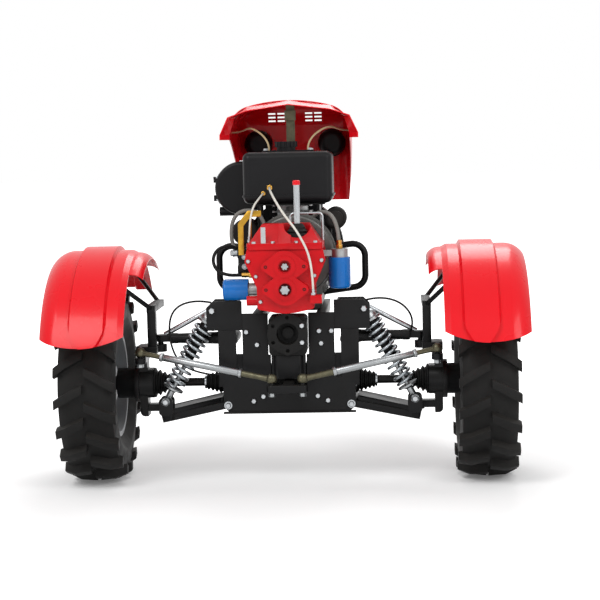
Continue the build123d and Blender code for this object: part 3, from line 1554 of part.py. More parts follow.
with BuildPart() as fender_right:
    add(fender_body(0))
    add(panel_body(0))
    add(fender_body(fender_sheet), mode=Mode.SUBTRACT)
    add(panel_body(fender_sheet), mode=Mode.SUBTRACT)
    with BuildSketch(Plane.XZ.offset(-axle_y)):
        with BuildLine():
            ThreePointArc(
                (fender_in, fender_tail_z + fender_tail_rise), (tail_mid, fender_tail_z),
                (fender_out, fender_tail_z + 0.8 * fender_tail_rise),
            )
            Polyline(
                (fender_out, fender_tail_z + 0.8 * fender_tail_rise), (fender_out, fender_z - fender_radius),
                (fender_in, fender_z - fender_radius), (fender_in, fender_tail_z + fender_tail_rise),
            )
        make_face()
    extrude(amount=2 * fender_radius, mode=Mode.SUBTRACT)
with BuildPart() as lobe:
    with BuildSketch(Plane.XZ):
        lip = fender_radius - fender_inner_roll
        with BuildLine():
            ThreePointArc(
                (fender_in + fender_sheet, lip), (fender_in - 0.6 * lobe_reach, lip - 0.25 * lobe_drop),
                (fender_in - lobe_reach, lip - lobe_drop),
            )
            Line((fender_in - lobe_reach, lip - lobe_drop), (fender_in - lobe_reach, lip - lobe_drop - fender_sheet))
            ThreePointArc(
                (fender_in - lobe_reach, lip - lobe_drop - fender_sheet),
                (fender_in - 0.6 * lobe_reach, lip - 0.25 * lobe_drop - fender_sheet),
                (fender_in + fender_sheet, lip - fender_sheet),
            )
            Line((fender_in + fender_sheet, lip - fender_sheet), (fender_in + fender_sheet, lip))
        make_face()
    revolve(axis=Axis.X, revolution_arc=lobe_arc)
with BuildPart() as fender_right_whole:
    add(fender_right.part)
    add(lobe_turn * lobe.part)
fender_right_whole.part.label = "fender_right"
export_step(fender_right_whole.part, "parts/fender_right.step")

with BuildPart() as fender_left:
    add(mirror(fender_right_whole.part, about=Plane.YZ))
fender_left.part.label = "fender_left"
export_step(fender_left.part, "parts/fender_left.step")

# Fender brackets: post, fore-and-aft rail and two stays cut to the fender's underside
fender_under = fender_radius - fender_sheet
stay_reach = fender_radius + stay_sink


def stay_end(x, angle):
    return (x, axle_y + stay_reach * cos(radians(angle)), fender_z + stay_reach * sin(radians(angle)))


rail_x = post_x + post_width / 2
rail_z = post_top + rail_height / 2
with BuildPart() as fender_bracket_right:
    block(post_x, post_x + post_width, post_y, post_y + post_depth, upright_top, post_top)
    block(post_x, post_x + post_width, post_y - stay_radius, rail_front, post_top, post_top + rail_height)
    add(bar((rail_x, rail_front - post_width / 2, rail_z), stay_end(front_stay_x, front_stay_angle), stay_radius))
    add(bar((rail_x, post_y, rail_z), stay_end(rear_stay_x, rear_stay_angle), stay_radius))
    drum_x(post_x, fender_out, axle_y, fender_z, fender_under, mode=Mode.INTERSECT)
    add(fender_right_whole.part, mode=Mode.SUBTRACT)
fender_bracket_right.part.label = "fender_bracket_right"
export_step(fender_bracket_right.part, "parts/fender_bracket_right.step")

with BuildPart() as fender_bracket_left:
    add(mirror(fender_bracket_right.part, about=Plane.YZ))
fender_bracket_left.part.label = "fender_bracket_left"
export_step(fender_bracket_left.part, "parts/fender_bracket_left.step")

# Rims: barrel with flanges and a drop centre, dished disc and blind-bored hub
wheel_axis = Axis((0, axle_y, axle_z), (1, 0, 0))
rim_half = rim_width / 2
lip_r = axle_y + rim_radius + rim_lip
seat_r = axle_y + rim_radius
under_r = seat_r - rim_wall
well_r = seat_r - well_depth
well_foot = well_half + well_slope
disc_in = disc_place - disc_dish
with BuildPart() as rim_right:
    with BuildSketch(Plane.XY.offset(axle_z)):
        with Locations((half_track, 0)):
            Polygon(
                (-rim_half - rim_wall, lip_r), (-rim_half, lip_r), (-rim_half, seat_r), (-well_foot, seat_r),
                (-well_half, well_r), (well_half, well_r), (well_foot, seat_r), (rim_half, seat_r),
                (rim_half, lip_r), (rim_half + rim_wall, lip_r), (rim_half + rim_wall, under_r),
                (well_foot + rim_wall, under_r), (well_half + rim_wall, well_r - rim_wall),
                (-well_half - rim_wall, well_r - rim_wall), (-well_foot - rim_wall, under_r),
                (-rim_half - rim_wall, under_r), align=None,
            )
            Polygon(
                (disc_in, axle_y + hub_radius / 2), (disc_in, axle_y + dish_inner), (disc_place, axle_y + dish_outer),
                (disc_place, well_r - rim_wall / 2), (disc_place + disc_thick, well_r - rim_wall / 2),
                (disc_place + disc_thick, axle_y + dish_outer - disc_thick / 2),
                (disc_in + disc_thick, axle_y + dish_inner - disc_thick / 2),
                (disc_in + disc_thick, axle_y + hub_radius / 2), align=None,
            )
    revolve(axis=wheel_axis)
    drum_x(half_track - hub_inboard, half_track + hub_outboard, axle_y, axle_z, hub_radius)
    drum_x(
        half_track - hub_inboard, half_track + spindle_reach + pin_gap, axle_y, axle_z, spindle_radius + pin_gap,
        mode=Mode.SUBTRACT,
    )
    with BuildSketch(Plane.YZ.offset(half_track + disc_in - disc_thick)):
        with Locations((axle_y, axle_z)):
            with PolarLocations(hand_hole_circle, hand_hole_count):
                Circle(hand_hole)
    extrude(amount=disc_dish + 3 * disc_thick, mode=Mode.SUBTRACT)
rim_right.part.label = "rim_right"
export_step(rim_right.part, "parts/rim_right.step")

with BuildPart() as rim_left:
    add(mirror(rim_right.part, about=Plane.YZ))
rim_left.part.label = "rim_left"
export_step(rim_left.part, "parts/rim_left.step")

# Tyres: carcass with staggered bar lugs
half_tyre = tyre_width / 2
lug_half = half_tyre + lug_overhang
crown_radius = tyre_radius - lug_height
skirt_radius = tyre_radius - lug_skirt
bulge_radius = (rim_radius + tyre_radius) / 2 - 12
with BuildPart() as lug_ring:
    with BuildSketch(Plane.XY):
        Polygon(
            (-lug_half, skirt_radius), (-lug_half, tyre_radius - shoulder_drop), (-0.6 * lug_half, tyre_radius - 4),
            (0, tyre_radius), (0.6 * lug_half, tyre_radius - 4), (lug_half, tyre_radius - shoulder_drop),
            (lug_half, skirt_radius), align=None,
        )
    revolve(axis=Axis.X)
with BuildPart() as lug:
    with BuildSketch(Plane.XZ.offset(skirt_radius + 4)):
        Polygon(
            (3, lug_width - 16), (3, lug_width + 12), (0.38 * lug_half, lug_width - 4), (lug_half, lug_width + 10 - lug_sweep),
            (lug_half, 6 - lug_sweep), (0.34 * lug_half, -6), align=None,
        )
    extrude(amount=lug_skirt + lug_overhang)
    add(lug_ring.part, mode=Mode.INTERSECT)
lug_other = Rot(180 / lug_count, 0, 0) * mirror(lug.part, about=Plane.YZ)
with BuildPart() as carcass:
    with BuildSketch(Plane.XY):
        Polygon(
            (-bead_half, rim_radius), (-bead_half - 2, rim_radius + 16), (-half_tyre, bulge_radius - 12),
            (-half_tyre, bulge_radius + 12), (6 - half_tyre, tyre_radius - 45), (-bead_half, crown_radius - 6),
            (0, crown_radius), (bead_half, crown_radius - 6), (half_tyre - 6, tyre_radius - 45),
            (half_tyre, bulge_radius + 12), (half_tyre, bulge_radius - 12), (bead_half + 2, rim_radius + 16),
            (bead_half, rim_radius), align=None,
        )
    revolve(axis=Axis.X)
    add([Rot(i * 360 / lug_count, 0, 0) * lug.part for i in range(lug_count)])
    add([Rot(i * 360 / lug_count, 0, 0) * lug_other for i in range(lug_count)])
with BuildPart() as tyre_right:
    add(Pos(half_track, axle_y, axle_z) * carcass.part)
tyre_right.part.label = "tyre_right"
export_step(tyre_right.part, "parts/tyre_right.step")

with BuildPart() as tyre_left:
    add(mirror(tyre_right.part, about=Plane.YZ))
tyre_left.part.label = "tyre_left"
export_step(tyre_left.part, "parts/tyre_left.step")
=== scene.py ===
import json
import math

import bmesh
import bpy
from mathutils import Matrix, Vector


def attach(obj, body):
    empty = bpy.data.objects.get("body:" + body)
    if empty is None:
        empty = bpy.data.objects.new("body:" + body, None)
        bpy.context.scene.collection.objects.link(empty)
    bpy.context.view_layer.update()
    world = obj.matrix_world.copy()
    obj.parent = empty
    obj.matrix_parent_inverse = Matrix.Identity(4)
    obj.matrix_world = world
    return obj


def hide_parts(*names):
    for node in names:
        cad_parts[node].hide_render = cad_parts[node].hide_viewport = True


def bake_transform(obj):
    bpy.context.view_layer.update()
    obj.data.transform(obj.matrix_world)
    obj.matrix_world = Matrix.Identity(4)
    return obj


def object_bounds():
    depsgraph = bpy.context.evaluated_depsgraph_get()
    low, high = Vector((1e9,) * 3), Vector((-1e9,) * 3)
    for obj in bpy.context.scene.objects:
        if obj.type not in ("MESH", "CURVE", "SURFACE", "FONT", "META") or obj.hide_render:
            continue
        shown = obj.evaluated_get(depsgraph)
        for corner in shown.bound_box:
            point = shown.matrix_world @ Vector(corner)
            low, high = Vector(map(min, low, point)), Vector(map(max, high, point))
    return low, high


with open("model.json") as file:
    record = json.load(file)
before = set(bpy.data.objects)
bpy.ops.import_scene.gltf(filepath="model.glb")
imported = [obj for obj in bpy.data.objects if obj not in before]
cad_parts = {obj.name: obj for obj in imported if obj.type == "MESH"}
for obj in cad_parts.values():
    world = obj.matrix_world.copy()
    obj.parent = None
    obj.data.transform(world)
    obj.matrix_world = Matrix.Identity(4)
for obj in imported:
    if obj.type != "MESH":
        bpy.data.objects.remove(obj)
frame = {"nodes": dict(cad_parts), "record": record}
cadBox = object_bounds()
nodes = frame["nodes"]
print("frame loaded:", len(nodes), "nodes")


def hexColour(value):
    # sRGB hex to the linear values that shaders use
    channels = [int(value[i : i + 2], 16) / 255 for i in (1, 3, 5)]
    linear = [c / 12.92 if c <= 0.04045 else ((c + 0.055) / 1.055) ** 2.4 for c in channels]
    return (*linear, 1.0)


def addNode(tree, kind, settings=None, links=None):
    node = tree.nodes.new(kind)
    for name, value in (settings or {}).items():
        if isinstance(name, int) or name in node.inputs:
            node.inputs[name].default_value = value
        else:
            setattr(node, name, value)
    for name, source in (links or {}).items():
        tree.links.new(source, node.inputs[name])
    return node


def finishFrom(look):
    # one surface finish: patchy colour, dust on upward faces, uneven gloss and a fine bump
    made = bpy.data.materials.new(look["name"])
    made.use_nodes = True
    tree = made.node_tree
    shader = tree.nodes["Principled BSDF"]
    place = addNode(tree, "ShaderNodeTexCoord")
    patches = addNode(
        tree,
        "ShaderNodeTexNoise",
        {"Scale": 1000 / look["patchMm"], "Detail": 4.0, "Roughness": 0.6},
        {"Vector": place.outputs["Object"]},
    )
    tint = addNode(
        tree,
        "ShaderNodeMix",
        {"data_type": "RGBA", 6: hexColour(look["colour"]), 7: hexColour(look["second"])},
        {0: patches.outputs["Fac"]},
    )
    colour = tint.outputs[2]
    if look.get("dust"):
        facing = addNode(tree, "ShaderNodeNewGeometry")
        upward = addNode(tree, "ShaderNodeSeparateXYZ", None, {0: facing.outputs["Normal"]})
        specks = addNode(
            tree,
            "ShaderNodeTexNoise",
            {"Scale": 1000 / look["dustMm"], "Detail": 6.0, "Roughness": 0.7},
            {"Vector": place.outputs["Object"]},
        )
        settle = addNode(
            tree,
            "ShaderNodeMath",
            {"operation": "MULTIPLY", "use_clamp": True},
            {0: upward.outputs["Z"], 1: specks.outputs["Fac"]},
        )
        amount = addNode(
            tree, "ShaderNodeMath", {"operation": "MULTIPLY", 1: look["dust"]}, {0: settle.outputs[0]}
        )
        dusty = addNode(
            tree,
            "ShaderNodeMix",
            {"data_type": "RGBA", 7: hexColour(look["dustColour"])},
            {0: amount.outputs[0], 6: colour},
        )
        colour = dusty.outputs[2]
    tree.links.new(colour, shader.inputs["Base Color"])
    grain = addNode(
        tree,
        "ShaderNodeTexNoise",
        {"Scale": 1000 / look["grainMm"], "Detail": 3.0, "Roughness": 0.55},
        {"Vector": place.outputs["Object"]},
    )
    gloss = addNode(
        tree,
        "ShaderNodeMapRange",
        {"From Min": 0.3, "From Max": 0.7, "To Min": look["smooth"], "To Max": look["rough"]},
        {"Value": patches.outputs["Fac"]},
    )
    tree.links.new(gloss.outputs[0], shader.inputs["Roughness"])
    bump = addNode(
        tree,
        "ShaderNodeBump",
        {"Strength": look["bump"], "Distance": look["bumpMm"] / 1000},
        {"Height": grain.outputs["Fac"]},
    )
    tree.links.new(bump.outputs[0], shader.inputs["Normal"])
    shader.inputs["Metallic"].default_value = look.get("metallic", 0.0)
    shader.inputs["Coat Weight"].default_value = look.get("coat", 0.0)
    shader.inputs["Coat Roughness"].default_value = look.get("coatRough", 0.08)
    shader.inputs["Specular IOR Level"].default_value = look.get("specular", 0.5)
    return made


# red stoving enamel on pressed sheet: deep gloss with a slight orange peel
redSheet = finishFrom(
    {
        "name": "red_enamel_sheet",
        "colour": "#E10A1B",
        "second": "#D20716",
        "patchMm": 240,
        "smooth": 0.24,
        "rough": 0.32,
        "grainMm": 5,
        "bump": 0.05,
        "bumpMm": 1.0,
        "coat": 0.12,
        "specular": 0.2,
    }
)
# red paint over sand-cast iron: the sand skin shows through as a pebbled gloss
redCasting = finishFrom(
    {
        "name": "red_enamel_cast_iron",
        "colour": "#CC0513",
        "second": "#A9040E",
        "patchMm": 60,
        "smooth": 0.3,
        "rough": 0.44,
        "grainMm": 3.2,
        "bump": 0.22,
        "bumpMm": 0.6,
        "coat": 0.08,
        "specular": 0.16,
    }
)
# black powder coat on folded plate: semi-gloss, with dust on the flats
blackSteel = finishFrom(
    {
        "name": "black_powder_coat",
        "colour": "#0D0D0E",
        "second": "#141415",
        "patchMm": 90,
        "smooth": 0.3,
        "rough": 0.46,
        "grainMm": 2.5,
        "bump": 0.16,
        "bumpMm": 0.4,
        "dust": 0.1,
        "dustMm": 14,
        "dustColour": "#6B655C",
        "specular": 0.16,
    }
)
# black paint on cast iron: satin with a coarse skin
blackCasting = finishFrom(
    {
        "name": "black_painted_cast_iron",
        "colour": "#0C0C0C",
        "second": "#161514",
        "patchMm": 45,
        "smooth": 0.38,
        "rough": 0.56,
        "grainMm": 3.5,
        "bump": 0.4,
        "bumpMm": 0.7,
        "dust": 0.12,
        "dustMm": 12,
        "dustColour": "#6B655C",
        "specular": 0.16,
    }
)
# bright zinc plate on turned steel: pale metal with a faint cloud
brightZinc = finishFrom(
    {
        "name": "bright_zinc_plate",
        "colour": "#B3B6B8",
        "second": "#9A9DA0",
        "patchMm": 18,
        "smooth": 0.22,
        "rough": 0.36,
        "grainMm": 1.8,
        "bump": 0.06,
        "bumpMm": 0.3,
        "metallic": 1.0,
    }
)
# die-cast aluminium: soft grey metal with a fine skin
castAluminium = finishFrom(
    {
        "name": "cast_aluminium",
        "colour": "#A3A4A4",
        "second": "#868787",
        "patchMm": 25,
        "smooth": 0.36,
        "rough": 0.5,
        "grainMm": 2.2,
        "bump": 0.3,
        "bumpMm": 0.4,
        "metallic": 1.0,
    }
)
# blow-moulded black polyethylene: satin skin, faintly uneven
blackPlastic = finishFrom(
    {
        "name": "black_polyethylene",
        "colour": "#0E0E10",
        "second": "#131315",
        "patchMm": 70,
        "smooth": 0.34,
        "rough": 0.44,
        "grainMm": 2.0,
        "bump": 0.12,
        "bumpMm": 0.3,
        "dust": 0.06,
        "dustMm": 30,
        "dustColour": "#77736C",
        "specular": 0.16,
    }
)
# heat-proof black on the exhaust and pulleys: flat and chalky
heatBlack = finishFrom(
    {
        "name": "heat_proof_black",
        "colour": "#1A1919",
        "second": "#2A2725",
        "patchMm": 40,
        "smooth": 0.5,
        "rough": 0.7,
        "grainMm": 2.4,
        "bump": 0.3,
        "bumpMm": 0.4,
        "specular": 0.15,
    }
)
# blue stoving enamel on drawn filter cans: even and glossy
blueEnamel = finishFrom(
    {
        "name": "blue_enamel",
        "colour": "#0C6FC2",
        "second": "#0A62AE",
        "patchMm": 60,
        "smooth": 0.2,
        "rough": 0.3,
        "grainMm": 4,
        "bump": 0.05,
        "bumpMm": 0.3,
        "coat": 0.1,
        "specular": 0.25,
    }
)
# yellow passivated zinc: gold metal with rainbow-brown clouds
yellowZinc = finishFrom(
    {
        "name": "yellow_passivated_zinc",
        "colour": "#BE9436",
        "second": "#8F6A2A",
        "patchMm": 22,
        "smooth": 0.26,
        "rough": 0.42,
        "grainMm": 2,
        "bump": 0.08,
        "bumpMm": 0.3,
        "metallic": 1.0,
    }
)
# black nitrile rubber: matt with a slight bloom
blackRubber = finishFrom(
    {
        "name": "black_nitrile_rubber",
        "colour": "#0E0E0E",
        "second": "#171717",
        "patchMm": 30,
        "smooth": 0.48,
        "rough": 0.62,
        "grainMm": 1.6,
        "bump": 0.2,
        "bumpMm": 0.3,
        "dust": 0.1,
        "dustMm": 9,
        "dustColour": "#5E5A54",
        "specular": 0.15,
    }
)
# tyre tread rubber: dark grey-black, dusty on the lug faces, moulded skin
tyreRubber = finishFrom(
    {
        "name": "tyre_rubber",
        "colour": "#131313",
        "second": "#1E1D1C",
        "patchMm": 55,
        "smooth": 0.5,
        "rough": 0.68,
        "grainMm": 2.6,
        "bump": 0.35,
        "bumpMm": 0.5,
        "dust": 0.16,
        "dustMm": 16,
        "dustColour": "#5F5850",
        "specular": 0.14,
    }
)
# grey enamel on the pressed wheel disc: satin
rimSteel = finishFrom(
    {
        "name": "grey_enamel_rim",
        "colour": "#8D9093",
        "second": "#7B7E81",
        "patchMm": 70,
        "smooth": 0.32,
        "rough": 0.46,
        "grainMm": 3,
        "bump": 0.1,
        "bumpMm": 0.3,
        "dust": 0.25,
        "dustMm": 18,
        "dustColour": "#6B655C",
    }
)
# grey woven sheath over a hose or wire: dull and slightly furry
greyBraid = finishFrom(
    {
        "name": "grey_braided_sheath",
        "colour": "#8A8782",
        "second": "#5B5955",
        "patchMm": 4,
        "smooth": 0.55,
        "rough": 0.75,
        "grainMm": 1.5,
        "bump": 0.5,
        "bumpMm": 0.5,
    }
)
# white PVC sheath over a control cable: smooth with slight yellowing
whiteSheath = finishFrom(
    {
        "name": "white_pvc_sheath",
        "colour": "#D9D7D0",
        "second": "#C6C2B6",
        "patchMm": 30,
        "smooth": 0.34,
        "rough": 0.46,
        "grainMm": 2,
        "bump": 0.08,
        "bumpMm": 0.2,
    }
)
# varnished glass sleeve on the lamp wires: straw coloured, slightly woven
beigeSleeve = finishFrom(
    {
        "name": "varnished_glass_sleeve",
        "colour": "#B8A37C",
        "second": "#9C8864",
        "patchMm": 6,
        "smooth": 0.4,
        "rough": 0.6,
        "grainMm": 1.6,
        "bump": 0.35,
        "bumpMm": 0.3,
    }
)
# turned brass: warm metal with light tarnish
brass = finishFrom(
    {
        "name": "turned_brass",
        "colour": "#D1A553",
        "second": "#A97C36",
        "patchMm": 12,
        "smooth": 0.2,
        "rough": 0.36,
        "grainMm": 1.6,
        "bump": 0.06,
        "bumpMm": 0.2,
        "metallic": 1.0,
    }
)
# zinc plate gone dull in use: mid grey metal
dullZinc = finishFrom(
    {
        "name": "dull_zinc_plate",
        "colour": "#A5A8A9",
        "second": "#8B8E90",
        "patchMm": 22,
        "smooth": 0.3,
        "rough": 0.44,
        "grainMm": 2,
        "bump": 0.06,
        "bumpMm": 0.3,
        "metallic": 1.0,
    }
)
# spring wire with a thin silver lacquer
springSteel = finishFrom(
    {
        "name": "lacquered_spring_steel",
        "colour": "#A9AFB3",
        "second": "#949A9E",
        "patchMm": 30,
        "smooth": 0.26,
        "rough": 0.36,
        "grainMm": 2,
        "bump": 0.05,
        "bumpMm": 0.3,
        "metallic": 0.85,
    }
)
# oiled steel forging: brown-green film over dark metal
oiledForging = finishFrom(
    {
        "name": "oiled_steel_forging",
        "colour": "#6A6650",
        "second": "#3E3C32",
        "patchMm": 20,
        "smooth": 0.34,
        "rough": 0.55,
        "grainMm": 2.6,
        "bump": 0.25,
        "bumpMm": 0.5,
        "metallic": 0.8,
    }
)
# sand-cast aluminium with an oily film: darker and blotched
oilyAluminium = finishFrom(
    {
        "name": "oily_cast_aluminium",
        "colour": "#6E6E6C",
        "second": "#4E4D4A",
        "patchMm": 38,
        "smooth": 0.4,
        "rough": 0.6,
        "grainMm": 3,
        "bump": 0.4,
        "bumpMm": 0.5,
        "metallic": 0.9,
    }
)
# clear moulded lamp lens
lampLens = finishFrom(
    {
        "name": "clear_polycarbonate",
        "colour": "#F2F4F5",
        "second": "#E4E8EA",
        "patchMm": 40,
        "smooth": 0.05,
        "rough": 0.1,
        "grainMm": 8,
        "bump": 0.1,
        "bumpMm": 0.4,
    }
)
lensShader = lampLens.node_tree.nodes["Principled BSDF"]
lensShader.inputs["Transmission Weight"].default_value = 0.85
lensShader.inputs["IOR"].default_value = 1.58

finishOfSlot = {
    "black_steel": blackSteel,
    "black_casting": blackCasting,
    "red_casting": redCasting,
    "red_sheet": redSheet,
    "bright_steel": brightZinc,
    "aluminium": castAluminium,
    "black_plastic": blackPlastic,
    "black_metal": heatBlack,
    "blue_paint": blueEnamel,
    "zinc": yellowZinc,
    "hose_rubber": greyBraid,
    "rubber": blackRubber,
    "lens": lampLens,
    "rim_steel": rimSteel,
    "tyre": tyreRubber,
}
for entry in frame["record"]["subparts"]:
    nodeMesh = nodes[entry["node"]].data
    nodeMesh.materials.clear()
    nodeMesh.materials.append(finishOfSlot[entry["material_slot"]])
# pieces whose finish differs from the rest of their slot
ownFinish = {
    "half_shafts": blackCasting,
    "bonnet_stay": oiledForging,
    "pto_shafts": dullZinc,
    "bell_housing": oilyAluminium,
    "crankcase": oilyAluminium,
}
for node, finish in ownFinish.items():
    nodes[node].data.materials.clear()
    nodes[node].data.materials.append(finish)
print("finishes on", len(nodes), "nodes")


def placed(shape, name, finish, smooth):
    # turns a bmesh into a shaded object at the origin
    mesh = bpy.data.meshes.new(name)
    shape.to_mesh(mesh)
    shape.free()
    mesh.materials.append(finish)
    for face in mesh.polygons:
        face.use_smooth = True
    mesh.set_sharp_from_angle(angle=math.radians(smooth))
    piece = bpy.data.objects.new(name, mesh)
    bpy.context.scene.collection.objects.link(piece)
    return piece


def pieceFrom(shape, name, finish, body, smooth=35):
    # a new piece that rides on one body, or on none yet
    bmesh.ops.recalc_face_normals(shape, faces=shape.faces)
    piece = placed(shape, name, finish, smooth)
    if body:
        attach(piece, body)
    return piece


def sharpEdges(shape, angle):
    return [e for e in shape.edges if len(e.link_faces) == 2 and e.calc_face_angle(0) > angle]


def breakEdges(shape, edges, width, steps=2, clamp=False):
    bmesh.ops.bevel(
        shape,
        geom=edges,
        offset=width,
        offset_type="OFFSET",
        segments=steps,
        profile=0.5,
        affect="EDGES",
        clamp_overlap=clamp,
        material=-1,
    )


def facing(place, axis):
    # turns local Z to an axis and moves to a place
    return Matrix.Translation(place) @ Vector(axis).to_track_quat("Z", "Y").to_matrix().to_4x4()


def addRing(shape, place, axis, inner, outer, start, depth, segments=32):
    # a washer or collar: a rectangle spun about its axis
    spot = facing(place, axis)
    corners = [(inner, start), (outer, start), (outer, start + depth), (inner, start + depth)]
    ring = [shape.verts.new(spot @ Vector((r, 0, z))) for r, z in corners]
    edges = [shape.edges.new((ring[i], ring[(i + 1) % 4])) for i in range(4)]
    bmesh.ops.spin(
        shape,
        geom=ring + edges,
        cent=place,
        axis=Vector(axis).normalized(),
        angle=math.tau,
        steps=segments,
        use_merge=True,
    )


def addLathe(shape, place, axis, outline, segments=40):
    # spins an outline of (radius, height) points; points on the axis close the ends
    spot = facing(place, axis)
    points = [shape.verts.new(spot @ Vector((r, 0, z))) for r, z in outline]
    edges = [shape.edges.new(pair) for pair in zip(points, points[1:])]
    bmesh.ops.spin(
        shape,
        geom=points + edges,
        cent=place,
        axis=Vector(axis).normalized(),
        angle=math.tau,
        steps=segments,
        use_merge=True,
    )
    bmesh.ops.remove_doubles(shape, verts=shape.verts, dist=1e-6)


def addBolt(shape, place, axis, head, washer=True, turn=0.0):
    # hex head on a washer, standing on the surface at place
    lift = 0.0
    spot = facing(place, axis)
    if washer:
        lift = head * 0.22
        addRing(shape, place, axis, head * 0.3, head * 1.32, 0.0, lift, 20)
    tall = head * 0.95
    for radius, top, low, high in (
        (head, head, lift, lift + tall * 0.75),
        (head, head * 0.8, lift + tall * 0.75, lift + tall),
    ):
        bmesh.ops.create_cone(
            shape,
            cap_ends=True,
            segments=6,
            radius1=radius,
            radius2=top,
            depth=high - low,
            matrix=spot @ Matrix.Rotation(turn, 4, "Z") @ Matrix.Translation((0, 0, (low + high) / 2)),
        )


def addNut(shape, place, axis, size, depth, turn=0.0):
    spot = facing(place, axis) @ Matrix.Rotation(turn, 4, "Z")
    made = bmesh.ops.create_cone(
        shape, cap_ends=True, segments=6, radius1=size, radius2=size, depth=depth, matrix=spot
    )
    edges = {e for v in made["verts"] for e in v.link_edges}
    breakEdges(shape, list(edges), size * 0.08)


def softened(node, body, edge):
    # a copy of a solid with its sharp edges broken, standing for the plain one
    source = nodes[node]
    shape = bmesh.new()
    shape.from_mesh(source.data)
    bmesh.ops.remove_doubles(shape, verts=shape.verts, dist=edge["merge"])
    bmesh.ops.dissolve_degenerate(shape, edges=shape.edges, dist=edge["merge"])
    bmesh.ops.dissolve_limit(
        shape, angle_limit=math.radians(edge["flat"]), verts=shape.verts, edges=shape.edges
    )
    breakEdges(shape, sharpEdges(shape, math.radians(edge["sharp"])), edge["width"], edge["steps"], clamp=True)
    bmesh.ops.triangulate(shape, faces=[f for f in shape.faces if len(f.verts) > 4])
    piece = placed(shape, node + "_softened", source.data.materials[0], edge["smooth"])
    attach(piece, body)
    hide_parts(node)


bodies = frame["record"]["behaviour"]["bodies"]
bodyOf = {name: body for body, names in bodies.items() for name in names}
castEdge = {"merge": 2e-5, "flat": 1.0, "sharp": 28, "width": 0.003, "steps": 3, "smooth": 40}
sheetEdge = {"merge": 2e-5, "flat": 0.6, "sharp": 40, "width": 0.001, "steps": 2, "smooth": 40}
tyreEdge = {"merge": 2e-5, "flat": 0.6, "sharp": 24, "width": 0.0035, "steps": 2, "smooth": 50}
edgesOf = {
    "gearbox_case": castEdge,
    "gearbox_lid": castEdge,
    "pto_cover": castEdge,
    "coupling_case": castEdge,
    "steering_box": castEdge,
    "crankcase": castEdge,
    "rear_plate": sheetEdge,
    "frame_rails": castEdge,
    "shock_towers": sheetEdge,
    "lower_arms": castEdge,
    "upper_arms": castEdge,
    "knuckle_left": castEdge,
    "knuckle_right": castEdge,
    "steering_arm": castEdge,
    "fender_bracket_left": sheetEdge,
    "fender_bracket_right": sheetEdge,
    "tank_bracket": sheetEdge,
    "throttle_bracket": sheetEdge,
    "tyre_left": tyreEdge,
    "tyre_right": tyreEdge,
}
for node, edge in edgesOf.items():
    softened(node, bodyOf[node], edge)
print("edges broken on", len(edgesOf), "pieces")

# bolt heads: place, the way the head points, half width across corners
plateBack = 0.047
boltSets = {
    "frame_bolts": {
        "bolts": [((x, plateBack, z), (0, -1, 0), 0.0095) for x, z in (
            (-0.146, 0.005), (0.15, 0.005), (0.107, 0.005), (-0.109, -0.04), (0.114, -0.038),
            (-0.091, -0.222), (0.099, -0.222), (-0.125, -0.238), (0.134, -0.238),
        )]
        + [((side * 0.264, plateBack, 0.08), (0, -1, 0), 0.0115) for side in (-1, 1)]
        + [((side * 0.437, 0.064, -0.24), (0, -1, 0), 0.0115) for side in (-1, 1)]
        + [((side * 0.437, 0.124, -0.24), (0, 1, 0), 0.0115) for side in (-1, 1)]
        + [((side * 0.264, 0.147, 0.08), (0, 1, 0), 0.0115) for side in (-1, 1)]
        + [((side * x, 0.273, z), (0, 1, 0), 0.0095) for side in (-1, 1) for x, z in ((0.2, -0.18), (0.2, -0.25))],
    },
    "pivot_bolts": {
        "washers": True,
        "bolts": [((side * 0.215, plateBack, -0.252), (0, -1, 0), 0.0105) for side in (-1, 1)],
    },
    "coupling_bolts": {
        "bolts": [((0.0502, 0.0, z), (0, -1, 0), 0.0095) for z in (0.029, -0.029)],
    },
    "gearbox_bolts": {
        "bolts": [((x, -0.0485, 0.317), (0, 0, 1), 0.0075) for x in (-0.105, -0.04, 0.04, 0.105)]
        + [((side * 0.125, -0.05, 0.257), (0, -1, 0), 0.0078) for side in (-1, 1)]
        + [((-0.086, -0.05, 0.118), (0, -1, 0), 0.0072)]
        + [((side * 0.1, -0.05, 0.205), (0, -1, 0), 0.0072) for side in (-1, 1)],
    },
    "engine_bolts": {
        "bolts": [
            ((side * 0.127, y, z), (side, 0, 0), 0.007)
            for side in (-1, 1)
            for y in (0.345, 0.425, 0.505)
            for z in (0.132, 0.228)
        ]
        + [((x, y, 0.631), (0, 0, 1), 0.0075) for x in (-0.08, 0.08) for y in (0.277, 0.373)]
        + [((0, y, 0.604), (0, 0, 1), 0.008) for y in (0.5, 0.56)],
    },
}
for name, kit in boltSets.items():
    shape = bmesh.new()
    for i, (place, axis, head) in enumerate(kit["bolts"]):
        addBolt(shape, Vector(place), axis, head, washer=kit.get("washers", False), turn=i * 0.37)
    pieceFrom(shape, name, brightZinc, "chassis", smooth=30)
print("bolts on", len(boltSets), "sets")

axle = (0.16, -0.183)

